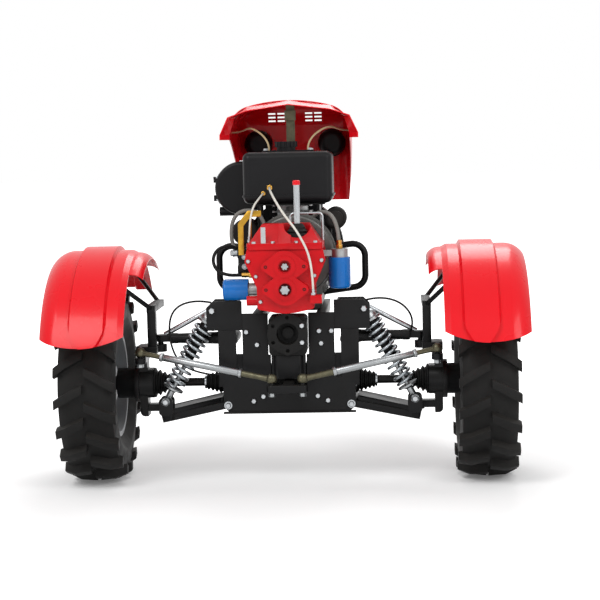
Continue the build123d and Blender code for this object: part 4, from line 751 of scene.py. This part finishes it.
# wheel nuts and the hub cap on each outer face, and the domed bolt of each fender
hubFace = {"x": 0.704, "y": axle[0], "z": axle[1], "circle": 0.046, "nuts": 6, "nut": 0.0115, "cap": 0.026}
fenderBolt = {"x": 0.677, "y": -0.2126, "z": 0.086, "radius": 0.0155, "height": 0.008, "arcZ": -0.148}
for side, word in ((-1, "left"), (1, "right")):
    shape = bmesh.new()
    for i in range(hubFace["nuts"]):
        angle = math.tau * i / hubFace["nuts"]
        spot = Vector((
            side * hubFace["x"],
            hubFace["y"] + hubFace["circle"] * math.cos(angle),
            hubFace["z"] + hubFace["circle"] * math.sin(angle),
        ))
        addBolt(shape, spot, (side, 0, 0), hubFace["nut"], turn=angle)
    cap = hubFace["cap"]
    addLathe(
        shape,
        Vector((side * hubFace["x"], hubFace["y"], hubFace["z"])),
        (side, 0, 0),
        [(0, 0), (cap, 0), (cap, 0.006), (cap * 0.9, 0.012), (cap * 0.6, 0.0165), (0, 0.018)],
    )
    pieceFrom(shape, "wheel_nuts_" + word, brightZinc, "wheel_" + word, smooth=30)
    shape = bmesh.new()
    dome = fenderBolt["radius"]
    tall = fenderBolt["height"]
    away = Vector((0, fenderBolt["y"] - axle[0], fenderBolt["z"] - fenderBolt["arcZ"])).normalized()
    addLathe(
        shape,
        Vector((side * fenderBolt["x"], fenderBolt["y"], fenderBolt["z"])) - away * 0.003,
        away,
        [(0, 0), (dome, 0), (dome, 0.003), (dome * 0.8, tall * 0.75), (dome * 0.4, tall + 0.002), (0, tall + 0.003)],
        28,
    )
    pieceFrom(shape, "fender_bolt_" + word, brightZinc, "knuckle_" + word, smooth=60)
print("wheel nuts and fender bolts set")

# rubber bellows: smooth folds that shrink from the cup to the shaft
outerBoot = {"cup": 0.4868, "neck": 0.42, "wide": 0.050, "narrow": 0.0225, "folds": 4, "fold": 0.0055}
innerBoot = {"cup": 0.232, "neck": 0.305, "wide": 0.0425, "narrow": 0.0225, "folds": 5, "fold": 0.005}
bootBore = 0.0155


def bellowsOutline(boot):
    steps = boot["folds"] * 8
    length = abs(boot["neck"] - boot["cup"])
    outline = [(bootBore, 0), (boot["wide"], 0)]
    for i in range(1, steps):
        part = i / steps
        radius = boot["wide"] + (boot["narrow"] - boot["wide"]) * part
        radius += boot["fold"] * math.sin(part * boot["folds"] * math.tau) * (1 - 0.35 * part)
        outline.append((radius, length * part))
    outline += [(boot["narrow"], length), (bootBore, length)]
    return outline


for side, word in ((-1, "left"), (1, "right")):
    shape = bmesh.new()
    y, z = axle
    addLathe(shape, Vector((side * outerBoot["cup"], y, z)), (-side, 0, 0), bellowsOutline(outerBoot), 48)
    boot = pieceFrom(shape, "outer_bellows_" + word, blackRubber, None, smooth=80)
    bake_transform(boot)
    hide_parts("boot_" + word)
shape = bmesh.new()
for side in (-1, 1):
    y, z = axle
    addLathe(shape, Vector((side * innerBoot["cup"], y, z)), (side, 0, 0), bellowsOutline(innerBoot), 48)
bellowsPair = pieceFrom(shape, "inner_bellows", blackRubber, "chassis", smooth=80)
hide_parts("inner_boots")

# bright clips round each end of the inner bellows
shape = bmesh.new()
for side in (-1, 1):
    y, z = axle
    addRing(shape, Vector((side * 0.3, y, z)), (side, 0, 0), 0.0215, 0.0245, 0.0, 0.006, 40)
    addRing(shape, Vector((side * 0.234, y, z)), (side, 0, 0), 0.042, 0.0465, -0.006, 0.006, 40)
pieceFrom(shape, "bellows_clips", brightZinc, "chassis")
print("bellows set")

# coil-overs: plated cap and rod, black damper tube, and a round-wire spring
coilOver = {
    "top": (0.264, 0.094, 0.08),
    "foot": (0.437, 0.094, -0.24),
    "coil": 0.031,
    "wire": 0.0055,
    "turns": 11,
    "start": 0.052,
    "inset": 0.056,
}
coilTop = Vector(coilOver["top"])
coilLine = Vector(coilOver["foot"]) - coilTop
coilLength = coilLine.length
coilEnd = coilLength - coilOver["inset"]
for side, word in ((-1, "left"), (1, "right")):
    spot = Vector((side * coilTop.x, coilTop.y, coilTop.z))
    along = Vector((side * coilLine.x, coilLine.y, coilLine.z))
    shape = bmesh.new()
    addLathe(
        shape, spot, along,
        [(0, 0.012), (0.013, 0.012), (0.021, 0.017), (0.026, 0.025), (0.0275, 0.036), (0.0275, 0.041),
         (0.037, 0.043), (0.037, 0.051), (0.019, 0.052), (0, 0.052)],
    )
    addLathe(
        shape, spot, along,
        [(0, 0.2), (0.0085, 0.2), (0.0085, coilEnd), (0.037, coilEnd + 0.001), (0.037, coilEnd + 0.007),
         (0.022, coilEnd + 0.01), (0.0125, coilEnd + 0.016), (0.0115, coilLength - 0.012), (0, coilLength - 0.012)],
    )
    addRing(shape, spot + along + Vector((0, -0.03, 0)), (0, 1, 0), 0.006, 0.0145, 0.0, 0.06, 28)
    addRing(shape, spot + Vector((0, -0.044, 0)), (0, 1, 0), 0.006, 0.0155, 0.0, 0.09, 28)
    metal = pieceFrom(shape, "coil_over_" + word, dullZinc, "chassis", smooth=40)
    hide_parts("shock_absorbers")
    shape = bmesh.new()
    addLathe(
        shape, spot, along,
        [(0, 0.05), (0.018, 0.05), (0.018, 0.207), (0.0165, 0.21), (0.009, 0.2105), (0, 0.2105)],
    )
    pieceFrom(shape, "damper_tube_" + word, blackSteel, "chassis", smooth=40)
    shape = bmesh.new()
    ringVerts = bmesh.ops.create_circle(
        shape,
        segments=12,
        radius=coilOver["wire"],
        matrix=Matrix.Translation((coilOver["coil"], 0, 0)) @ Matrix.Rotation(math.pi / 2, 4, "X"),
    )["verts"]
    steps = coilOver["turns"] * 28
    run = coilEnd - coilOver["start"] - 2 * coilOver["wire"]
    ringEdges = list({e for v in ringVerts for e in v.link_edges})
    bmesh.ops.spin(
        shape,
        geom=ringVerts + ringEdges,
        cent=(0, 0, 0),
        axis=(0, 0, 1),
        dvec=(0, 0, run / steps),
        angle=side * math.tau * coilOver["turns"],
        steps=steps,
        use_merge=False,
    )
    bmesh.ops.holes_fill(shape, edges=shape.edges, sides=0)
    seat = facing(spot + along.normalized() * (coilOver["start"] + coilOver["wire"]), along)
    bmesh.ops.transform(shape, matrix=seat, verts=shape.verts)
    coil = pieceFrom(shape, "coil_spring_" + word, springSteel, "chassis", smooth=70)
    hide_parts("coil_springs")
print("coil-overs set")

# tie rods: plated tube between two forged ends, each with a ball housing
tieRod = {
    "inner": (0.053, -0.078, -0.145),
    "outer": (0.514, 0.01, -0.058),
    "tube": 0.0122,
    "tubeStart": 0.118,
    "tubeEnd": 0.392,
    "nut": 0.0165,
    "studNut": 0.0125,
    "studNutDeep": 0.013,
}
housing = [
    (0, -0.0125), (0.0125, -0.0125), (0.0165, -0.0095), (0.0185, -0.004), (0.0185, 0.005), (0.0165, 0.0105),
    (0.0125, 0.0145), (0.0115, 0.0155), (0.008, 0.0175), (0, 0.018),
]
for side, word in ((-1, "left"), (1, "right")):
    inner = Vector((side * tieRod["inner"][0], *tieRod["inner"][1:]))
    outer = Vector((side * tieRod["outer"][0], *tieRod["outer"][1:]))
    along = outer - inner
    shank = along.length - tieRod["tubeEnd"]
    shape = bmesh.new()
    addLathe(shape, inner, (0, 0, 1), housing, 36)
    addLathe(shape, outer, (0, 0, 1), housing, 36)
    addLathe(
        shape, inner, along,
        [(0, 0.01), (0.012, 0.01), (0.0105, 0.026), (0.0098, 0.05), (0.0108, 0.09), (0.0108, 0.112), (0, 0.112)],
        28,
    )
    addLathe(
        shape, outer, -along,
        [(0, 0.01), (0.011, 0.01), (0.0092, 0.024), (0.0088, 0.05), (0.0088, shank), (0, shank)],
        28,
    )
    ends = pieceFrom(shape, "rod_ends_" + word, oiledForging, "tie_rod_" + word, smooth=45)
    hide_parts("tie_rod_" + word)
    shape = bmesh.new()
    tube = tieRod["tube"]
    addLathe(
        shape, inner, along,
        [(0, tieRod["tubeStart"]), (tube * 0.86, tieRod["tubeStart"]), (tube, tieRod["tubeStart"] + 0.003),
         (tube, tieRod["tubeEnd"] - 0.003), (tube * 0.86, tieRod["tubeEnd"]), (0, tieRod["tubeEnd"])],
        32,
    )
    for reach in (tieRod["tubeStart"] - 0.006, tieRod["tubeEnd"] + 0.006):
        addNut(shape, inner + along.normalized() * reach, along, tieRod["nut"], 0.011, reach)
    pieceFrom(shape, "rod_tube_" + word, dullZinc, "tie_rod_" + word, smooth=40)
shape = bmesh.new()
for side in (-1, 1):
    spot = Vector((side * tieRod["inner"][0], tieRod["inner"][1], -0.1985))
    addNut(shape, spot, (0, 0, 1), tieRod["studNut"], tieRod["studNutDeep"], side * 0.4)
pieceFrom(shape, "stud_nuts", dullZinc, "steering_arm", smooth=30)
for side, word in ((-1, "left"), (1, "right")):
    shape = bmesh.new()
    spot = Vector((side * tieRod["outer"][0], tieRod["outer"][1], -0.103))
    addNut(shape, spot, (0, 0, 1), tieRod["studNut"], tieRod["studNutDeep"], side * 0.3)
    pieceFrom(shape, "knuckle_nuts_" + word, dullZinc, "knuckle_" + word, smooth=30)
print("tie rods set")

# power take-off flanges: two diamond plates with a bored middle and screwed ears
takeOff = {
    "face": -0.066,
    "thick": 0.006,
    "step": 0.002,
    "round": 0.0545,
    "bore": 0.023,
    "ear": 0.065,
    "earRound": 0.015,
    "heights": (0.238, 0.16),
}
shape = bmesh.new()
for level, height in enumerate(takeOff["heights"]):
    plate = bmesh.new()
    ear, earRound = takeOff["ear"], takeOff["earRound"]
    for x, radius in ((0, takeOff["round"]), (-ear, earRound), (ear, earRound)):
        bmesh.ops.create_circle(plate, segments=48, radius=radius, matrix=Matrix.Translation((x, 0, 0)))
    hull = bmesh.ops.convex_hull(plate, input=plate.verts)
    spare = [v for v in plate.verts if not v.link_faces]
    inside = [v for v in hull["geom_interior"] if isinstance(v, bmesh.types.BMVert) and v.is_valid]
    bmesh.ops.delete(plate, geom=list({*spare, *inside}), context="VERTS")
    rim = sorted((v.co.copy() for v in plate.verts), key=lambda c: math.atan2(c.y, c.x))
    plate.free()
    outerRing = [shape.verts.new((c.x, takeOff["face"], height + c.y)) for c in rim]
    outerEdges = [shape.edges.new((outerRing[i - 1], outerRing[i])) for i in range(len(outerRing))]
    bore = bmesh.ops.create_circle(
        shape,
        segments=48,
        radius=takeOff["bore"],
        matrix=Matrix.Translation((0, takeOff["face"], height)) @ Matrix.Rotation(math.pi / 2, 4, "X"),
    )["verts"]
    boreEdges = list({e for v in bore for e in v.link_edges})
    faces = bmesh.ops.bridge_loops(shape, edges=outerEdges + boreEdges)["faces"]
    grown = bmesh.ops.extrude_face_region(shape, geom=faces)["geom"]
    lift = takeOff["thick"] + level * takeOff["step"]
    raised = [v for v in grown if isinstance(v, bmesh.types.BMVert)]
    bmesh.ops.translate(shape, verts=raised, vec=(0, -lift, 0))
    ringPlace = Vector((0, takeOff["face"] - lift, height))
    addRing(shape, ringPlace, (0, -1, 0), takeOff["bore"], takeOff["bore"] + 0.014, -0.001, 0.0045, 48)
bmesh.ops.remove_doubles(shape, verts=shape.verts, dist=1e-6)
pieceFrom(shape, "take_off_flanges", redCasting, "chassis", smooth=35)
shape = bmesh.new()
for level, height in enumerate(takeOff["heights"]):
    for side in (-1, 1):
        place = Vector((side * takeOff["ear"], takeOff["face"] - takeOff["thick"] - level * takeOff["step"], height))
        addRing(shape, place, (0, -1, 0), 0.0028, 0.0056, -0.002, 0.0032, 20)
pieceFrom(shape, "ear_screws", blackCasting, "chassis")
print("take-off flanges set")

# hoses, cables and wires: one smooth spline each, on the route that the solids follow
cordRoutes = {
    "fuel_hose_right": {
        "node": "hoses",
        "finish": greyBraid,
        "radius": 0.007,
        "stiffness": "medium",
        "route": [(0.07, 0.2332, 0.3), (0.07, 0.2332, 0.412), (0.182, 0.095, 0.412), (0.182, 0.095, 0.286)],
    },
    "fuel_hose_left": {
        "node": "hoses",
        "finish": greyBraid,
        "radius": 0.007,
        "stiffness": "medium",
        "route": [
            (-0.08, 0.2332, 0.3), (-0.08, 0.2332, 0.42), (-0.206, 0.2332, 0.42),
            (-0.206, 0.2332, 0.25), (-0.103, 0.2332, 0.25),
        ],
    },
    "control_cable_long": {
        "node": "control_cable",
        "finish": whiteSheath,
        "radius": 0.004,
        "stiffness": "stiff",
        "route": [
            (-0.063, 0.21, 0.5), (-0.063, 0.13, 0.5), (-0.01, -0.035, 0.425),
            (0.052, -0.08, 0.35), (0.095, -0.066, 0.25), (0.095, -0.066, 0.139),
        ],
    },
    "control_cable_short": {
        "node": "control_cable",
        "finish": whiteSheath,
        "radius": 0.0035,
        "stiffness": "stiff",
        "route": [(-0.086, 0.21, 0.48), (-0.086, 0.16, 0.48), (-0.126, 0.04, 0.42), (-0.126, 0.04, 0.317)],
    },
    "lamp_wire_right": {
        "node": "lamp_wires",
        "finish": beigeSleeve,
        "radius": 0.0035,
        "stiffness": "medium",
        "route": [(0.07, 0.33, 0.631), (0.07, 0.33, 0.668), (0.14, 0.42, 0.72), (0.189, 0.52, 0.7), (0.219, 0.52, 0.7)],
    },
    "lamp_wire_left": {
        "node": "lamp_wires",
        "finish": beigeSleeve,
        "radius": 0.0035,
        "stiffness": "medium",
        "route": [
            (-0.07, 0.33, 0.631), (-0.07, 0.33, 0.668), (-0.14, 0.42, 0.72), (-0.189, 0.52, 0.7), (-0.219, 0.52, 0.7),
        ],
    },
}


def lineLength(curve):
    # the length of a curve's own line, before it has any thickness
    thin = bpy.data.meshes.new_from_object(curve)
    total = sum((thin.vertices[e.vertices[0]].co - thin.vertices[e.vertices[1]].co).length for e in thin.edges)
    bpy.data.meshes.remove(thin)
    return total


def layCord(name, route, radius, finish, node):
    line = bpy.data.curves.new(name, "CURVE")
    line.dimensions = "3D"
    line.resolution_u = 16
    spline = line.splines.new("NURBS")
    spline.points.add(len(route) - 1)
    for point, spot in zip(spline.points, route):
        point.co = (*spot, 1.0)
    spline.order_u = 3
    spline.use_endpoint_u = True
    cord = bpy.data.objects.new(name, line)
    bpy.context.scene.collection.objects.link(cord)
    bpy.context.view_layer.update()
    long = lineLength(cord)
    line.bevel_depth = radius
    line.bevel_resolution = 4
    line.use_fill_caps = True
    line.materials.append(finish)
    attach(cord, "chassis")
    if node:
        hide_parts(node)
    print("cord", name, round(long, 3), "m")


for name, kit in cordRoutes.items():
    layCord(name, kit["route"], kit["radius"], kit["finish"], kit["node"])

# hose ends: crimped sleeves and hex unions, in brass or bright plate
hoseEnds = {
    "brass_unions": {
        "finish": brass,
        "slot": "zinc",
        "ends": [
            ((0.182, 0.095, 0.286), (0, 0, 1), 0.0125, 0.0085),
            ((-0.063, 0.21, 0.5), (0, -1, 0), 0.0105, 0.0055),
            ((-0.086, 0.21, 0.48), (0, -1, 0), 0.0085, 0.005),
        ],
    },
    "plated_unions": {
        "finish": brightZinc,
        "slot": "bright_steel",
        "ends": [
            ((0.07, 0.2332, 0.3), (0, 0, 1), 0.0125, 0.0085),
            ((-0.08, 0.2332, 0.3), (0, 0, 1), 0.0125, 0.0085),
            ((-0.103, 0.2332, 0.25), (-1, 0, 0), 0.0135, 0.0085),
            ((-0.126, 0.04, 0.317), (0, 0, 1), 0.0085, 0.005),
            ((0.095, -0.066, 0.139), (0, 0, 1), 0.0085, 0.0055),
        ],
    },
}
for name, kit in hoseEnds.items():
    shape = bmesh.new()
    for place, axis, nut, sleeve in kit["ends"]:
        place = Vector(place)
        axis = Vector(axis)
        addNut(shape, place + axis * nut * 0.55, axis, nut, nut * 1.1)
        addRing(shape, place, axis, sleeve * 0.75, sleeve, nut * 1.1, nut * 1.3, 24)
        addRing(shape, place, axis, sleeve * 0.75, sleeve * 1.18, nut * 1.9, nut * 0.25, 24)
    pieceFrom(shape, name, kit["finish"], "chassis")
print("hose ends set")

# air cleaner: three rolled seams and four over-centre clips
cleaner = {"x": -0.185, "rear": 0.452, "z": 0.494, "radius": 0.097}
# each clip is a strap and two tabs: distance forward, height, length and width
clipBlocks = ((0.027, 0.004, 0.03, 0.012), (0.02, 0.006, 0.008, 0.014), (0.034, 0.006, 0.008, 0.014))
shape = bmesh.new()
spot = Vector((cleaner["x"], cleaner["rear"], cleaner["z"]))
for offset in (0.018, 0.036, 0.082):
    addRing(shape, spot, (0, 1, 0), cleaner["radius"] - 0.004, cleaner["radius"] + 0.0022, offset, 0.005, 64)
pieceFrom(shape, "cleaner_seams", blackPlastic, "chassis")
shape = bmesh.new()
for angle in (155, 205, 275, 85):
    turn = math.radians(angle)
    out = Vector((math.cos(turn), 0, math.sin(turn)))
    edge = spot + out * cleaner["radius"]
    for depth, height, length, width in clipBlocks:
        made = bmesh.ops.create_cube(shape, size=1.0)
        across = facing(edge + out * height * 0.6 + Vector((0, depth, 0)), out)
        bmesh.ops.transform(
            shape, matrix=across @ Matrix.Diagonal((width, length, height, 1)), verts=made["verts"]
        )
        edges = {e for v in made["verts"] for e in v.link_edges}
        breakEdges(shape, list(edges), 0.0009)
pieceFrom(shape, "cleaner_clips", brightZinc, "chassis")
print("air cleaner set")

# upper arms: a forged tube along each arm's rear edge
upperTube = {"start": 0.196, "end": 0.424, "y": (0.135, 0.146), "z": -0.024, "wide": 0.0235, "narrow": 0.0175}
shape = bmesh.new()
for side in (-1, 1):
    begin = Vector((side * upperTube["start"], upperTube["y"][0], upperTube["z"]))
    finish = Vector((side * upperTube["end"], upperTube["y"][1], upperTube["z"]))
    reach = (finish - begin).length
    wide, narrow = upperTube["wide"], upperTube["narrow"]
    addLathe(
        shape, begin, finish - begin,
        [(0, 0), (wide * 0.9, 0), (wide, 0.003), (wide, 0.05), (wide * 0.93, 0.056), (narrow, reach - 0.03),
         (narrow * 1.08, reach - 0.022), (narrow * 1.08, reach - 0.003), (narrow * 0.9, reach), (0, reach)],
        36,
    )
pieceFrom(shape, "upper_arm_tubes", blackSteel, "chassis", smooth=40)
print("upper arm tubes set")

# lower arms: a pressed shell over each arm, dished on its rear face
armShell = {
    "outline": ((0.238, -0.226), (0.238, -0.262), (0.424, -0.306), (0.424, -0.268)),
    "rear": 0.082,
    "deep": 0.13,
    "rim": 0.007,
    "dish": 0.004,
    "edge": 0.002,
}
shape = bmesh.new()
for side in (-1, 1):
    corners = [shape.verts.new((side * x, armShell["rear"], z)) for x, z in armShell["outline"]]
    rear = shape.faces.new(corners)
    grown = bmesh.ops.extrude_face_region(shape, geom=[rear])["geom"]
    front = [v for v in grown if isinstance(v, bmesh.types.BMVert)]
    bmesh.ops.translate(shape, verts=front, vec=(0, armShell["deep"], 0))
bmesh.ops.recalc_face_normals(shape, faces=shape.faces)
dished = [f for f in shape.faces if f.normal.y < -0.9 or f.normal.z > 0.5]
bmesh.ops.inset_individual(shape, faces=dished, thickness=armShell["rim"], depth=-armShell["dish"])
breakEdges(shape, sharpEdges(shape, 0.7), armShell["edge"], 3)
pieceFrom(shape, "arm_shells", blackSteel, "chassis", smooth=40)
print("arm shells set")

# gussets that close the lower part of the gaps beside the rear plate, pressed in the middle
gusset = {
    "inner": 0.152,
    "outer": 0.19,
    "low": -0.168,
    "high": -0.072,
    "rear": 0.0535,
    "thick": 0.005,
    "rim": 0.008,
    "dish": 0.0018,
    "edge": 0.0012,
}
shape = bmesh.new()
for side in (-1, 1):
    made = bmesh.ops.create_cube(shape, size=1.0)["verts"]
    size = (gusset["outer"] - gusset["inner"], gusset["thick"], gusset["high"] - gusset["low"])
    middle = (side * (gusset["outer"] + gusset["inner"]) / 2, gusset["rear"], (gusset["high"] + gusset["low"]) / 2)
    bmesh.ops.scale(shape, vec=size, verts=made)
    bmesh.ops.translate(shape, vec=middle, verts=made)
rearFaces = [f for f in shape.faces if f.normal.y < -0.9]
bmesh.ops.inset_individual(shape, faces=rearFaces, thickness=gusset["rim"], depth=-gusset["dish"])
breakEdges(shape, sharpEdges(shape, 0.7), gusset["edge"])
pieceFrom(shape, "plate_gussets", blackSteel, "chassis", smooth=40)
print("gussets set")

# oil valve block on the bell housing, with its banjo and the short black hose beside it
valveBlock = {"low": (-0.176, 0.112, 0.202), "high": (-0.126, 0.172, 0.288), "edge": 0.002}
shape = bmesh.new()
made = bmesh.ops.create_cube(shape, size=1.0)
low, high = Vector(valveBlock["low"]), Vector(valveBlock["high"])
bmesh.ops.scale(shape, vec=high - low, verts=made["verts"])
bmesh.ops.translate(shape, vec=(low + high) / 2, verts=made["verts"])
upright = [e for e in shape.edges if abs(e.verts[0].co.z - e.verts[1].co.z) > 0.01]
bmesh.ops.subdivide_edges(shape, edges=upright, cuts=2)
halfway = (low.z + high.z) / 2
waist = [f for f in shape.faces if abs(f.normal.z) < 0.1 and abs(f.calc_center_median().z - halfway) < 0.005]
bmesh.ops.inset_region(shape, faces=waist, thickness=0.004, depth=-0.003)
breakEdges(shape, sharpEdges(shape, 0.8), valveBlock["edge"])
pieceFrom(shape, "valve_block", blackCasting, "chassis")
shape = bmesh.new()
banjo = Vector((-0.188, 0.142, 0.274))
addRing(shape, banjo + Vector((0.012, 0, 0)), (-1, 0, 0), 0.005, 0.0125, 0.0, 0.014, 28)
addBolt(shape, banjo + Vector((-0.002, 0, 0)), (-1, 0, 0), 0.011)
addBolt(shape, Vector((-0.151, 0.112, 0.262)), (0, -1, 0), 0.0075)
addBolt(shape, Vector((-0.151, 0.112, 0.228)), (0, -1, 0), 0.0075)
pieceFrom(shape, "banjo_bolts", dullZinc, "chassis")
brakeRadius = 0.0036
oilHose = {
    "radius": 0.006,
    "nut": 0.0115,
    "route": [
        (-0.121, 0.094, 0.2), (-0.165, 0.093, 0.2), (-0.21, 0.094, 0.2), (-0.249, 0.099, 0.216), (-0.264, 0.107, 0.253),
        (-0.249, 0.117, 0.289), (-0.212, 0.13, 0.303), (-0.177, 0.145, 0.291), (-0.148, 0.156, 0.272),
    ],
}
brakeLines = {
    "brake_line_left": [
        (-0.272, 0.1, 0.105), (-0.33, 0.072, 0.12), (-0.41, 0.055, 0.085), (-0.418, 0.052, -0.02),
        (-0.385, 0.07, -0.11), (-0.3, 0.1, -0.15), (-0.226, 0.13, -0.16),
    ],
    "brake_line_right": [
        (0.272, 0.1, 0.105), (0.32, 0.085, 0.118), (0.4, 0.08, 0.095), (0.44, 0.1, 0.03), (0.425, 0.13, -0.012),
    ],
}
extraCords = {"oil_hose": (oilHose["route"], oilHose["radius"], "stiff")}
for name, route in brakeLines.items():
    extraCords[name] = (route, brakeRadius, "medium")
for name, (route, radius, stiffness) in extraCords.items():
    layCord(name, route, radius, blackRubber, None)
shape = bmesh.new()
place, axis, nut = Vector(oilHose["route"][0]), Vector((-1, 0, 0)), oilHose["nut"]
addNut(shape, place + axis * nut * 0.6, axis, nut, nut * 1.2)
addRing(shape, place, axis, 0.006, 0.0088, nut * 1.2, nut * 2.2, 24)
addRing(shape, place, axis, 0.006, 0.0098, nut * 2.2, nut * 0.3, 24)
pieceFrom(shape, "oil_hose_end", brass, "chassis")
print("oil hose and brake lines set")

# headlamps: clear lens over a stepped reflector, in a bright bezel
headlamp = {"x": 0.143, "z": 0.656, "face": 0.851, "glass": 0.0535 * 0.96, "crown": 0.0055, "mirror": 0.0505}
glassArc = [k * math.pi / 24 for k in range(1, 12)]
lampOutlines = {
    "lamp_glass": [(0, 0.0005), (headlamp["glass"], 0.0005), (headlamp["glass"], 0.0022)]
    + [(headlamp["glass"] * math.cos(a), 0.0022 + 0.0033 * math.sin(a)) for a in glassArc]
    + [(0, headlamp["crown"])],
    "lamp_reflectors": [(0, -0.001), (headlamp["mirror"], -0.001)]
    + [(headlamp["mirror"] - k * 0.0021, 0.00012 + (k % 2) * 0.0003) for k in range(20)]
    + [(0.0085, 0.0004), (0, 0.0004)],
    "lamp_bezels": [
        (0.0515, -0.001), (0.0585, -0.001), (0.0588, 0.0012), (0.0575, 0.0038), (0.055, 0.0055),
        (0.0525, 0.0046), (0.0515, 0.0022), (0.0515, -0.001),
    ],
}
for name, finish, slot, smooth in (
    ("lamp_glass", lampLens, "lens", 60),
    ("lamp_reflectors", brightZinc, "bright_steel", 15),
    ("lamp_bezels", brightZinc, "bright_steel", 60),
):
    shape = bmesh.new()
    for side in (-1, 1):
        spot = Vector((side * headlamp["x"], headlamp["face"], headlamp["z"]))
        addLathe(shape, spot, (0, 1, 0), lampOutlines[name], 64)
    pieceFrom(shape, name, finish, "chassis", smooth)
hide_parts("headlamp_lenses")
print("headlamps set")

# the photograph's viewpoint: behind the unit, a little above the bonnet's eaves
viewpoint = {
    "place": (0.333, -5.624, 0.638),
    "pitch": -5.28,
    "roll": -1.29,
    "yaw": 2.92,
    "fieldOfView": 20.66,
}
lens = bpy.data.cameras.new("camera")
lens.sensor_fit = "HORIZONTAL"
lens.angle = math.radians(viewpoint["fieldOfView"])
camera = bpy.data.objects.new("camera", lens)
bpy.context.scene.collection.objects.link(camera)
aim = Matrix.Rotation(math.radians(viewpoint["yaw"]), 4, "Z")
aim = aim @ Matrix.Rotation(math.radians(90 + viewpoint["pitch"]), 4, "X")
aim = aim @ Matrix.Rotation(math.radians(viewpoint["roll"]), 4, "Z")
camera.matrix_world = Matrix.Translation(viewpoint["place"]) @ aim
bpy.context.scene.camera = camera

# a white floor that keeps the shadow under the tyres
floorSize = {"half": 60.0, "level": cadBox[0][2], "near": 0.1}
floorMesh = bpy.data.meshes.new("floor")
ground = bmesh.new()
bmesh.ops.create_grid(ground, x_segments=1, y_segments=1, size=floorSize["half"])
bmesh.ops.translate(ground, verts=ground.verts, vec=(0, 0, floorSize["level"]))
ground.to_mesh(floorMesh)
ground.free()
floor = bpy.data.objects.new("floor", floorMesh)
bpy.context.scene.collection.objects.link(floor)
floorPaint = bpy.data.materials.new("white_studio_floor")
floorPaint.use_nodes = True
paintTree = floorPaint.node_tree
paint = paintTree.nodes["Principled BSDF"]
paint.inputs["Base Color"].default_value = hexColour("#F7F7F7")
paint.inputs["Roughness"].default_value = 0.9
paint.inputs["Specular IOR Level"].default_value = 0.0
paint.inputs["Emission Color"].default_value = (1, 1, 1, 1)
# a little white of its own where it is seen, and all white away from the shadow
floorPlace = addNode(paintTree, "ShaderNodeTexCoord")
away = addNode(
    paintTree, "ShaderNodeVectorMath", {"operation": "LENGTH"}, {0: floorPlace.outputs["Object"]}
)
whiten = addNode(
    paintTree,
    "ShaderNodeMapRange",
    {"From Min": 1.0, "From Max": 3.0, "To Min": floorSize["near"], "To Max": 1.0},
    {"Value": away.outputs["Value"]},
)
floorRays = addNode(paintTree, "ShaderNodeLightPath")
floorSeen = addNode(
    paintTree,
    "ShaderNodeMath",
    {"operation": "MAXIMUM"},
    {0: floorRays.outputs["Is Camera Ray"], 1: floorRays.outputs["Is Glossy Ray"]},
)
whiteSeen = addNode(
    paintTree, "ShaderNodeMath", {"operation": "MULTIPLY"}, {0: floorSeen.outputs[0], 1: whiten.outputs[0]}
)
paintTree.links.new(whiteSeen.outputs[0], paint.inputs["Emission Strength"])
floorMesh.materials.append(floorPaint)

# soft white surround: white to the camera and in reflections, gentler as a light
sky = bpy.data.worlds.new("studio")
bpy.context.scene.world = sky
sky.use_nodes = True
skyTree = sky.node_tree
rays = addNode(skyTree, "ShaderNodeLightPath")
seen = addNode(
    skyTree,
    "ShaderNodeMath",
    {"operation": "MAXIMUM"},
    {0: rays.outputs["Is Camera Ray"], 1: rays.outputs["Is Glossy Ray"]},
)
shown = addNode(
    skyTree,
    "ShaderNodeMath",
    {"operation": "MAXIMUM"},
    {0: seen.outputs[0], 1: rays.outputs["Is Transmission Ray"]},
)
strength = addNode(
    skyTree, "ShaderNodeMapRange", {"To Min": 0.55, "To Max": 1.0}, {"Value": shown.outputs[0]}
)
skyTree.links.new(strength.outputs[0], skyTree.nodes["Background"].inputs["Strength"])
skyTree.nodes["Background"].inputs["Color"].default_value = (1, 1, 1, 1)

softboxes = [
    {"name": "key", "place": (-2.2, -3.4, 3.6), "size": 2.4, "watts": 130},
    {"name": "fill", "place": (2.8, -3.0, 2.4), "size": 2.2, "watts": 70},
    {"name": "rim", "place": (0.4, 3.2, 3.4), "size": 2.4, "watts": 90},
]
for box in softboxes:
    glow = bpy.data.lights.new(box["name"], "AREA")
    glow.size = box["size"]
    glow.energy = box["watts"]
    lamp = bpy.data.objects.new(box["name"], glow)
    lamp.location = box["place"]
    lamp.rotation_euler = (Vector((0, 0.1, 0)) - lamp.location).to_track_quat("-Z", "Y").to_euler()
    bpy.context.scene.collection.objects.link(lamp)
bpy.context.scene.view_settings.view_transform = "Standard"
print("camera, floor and lights set")
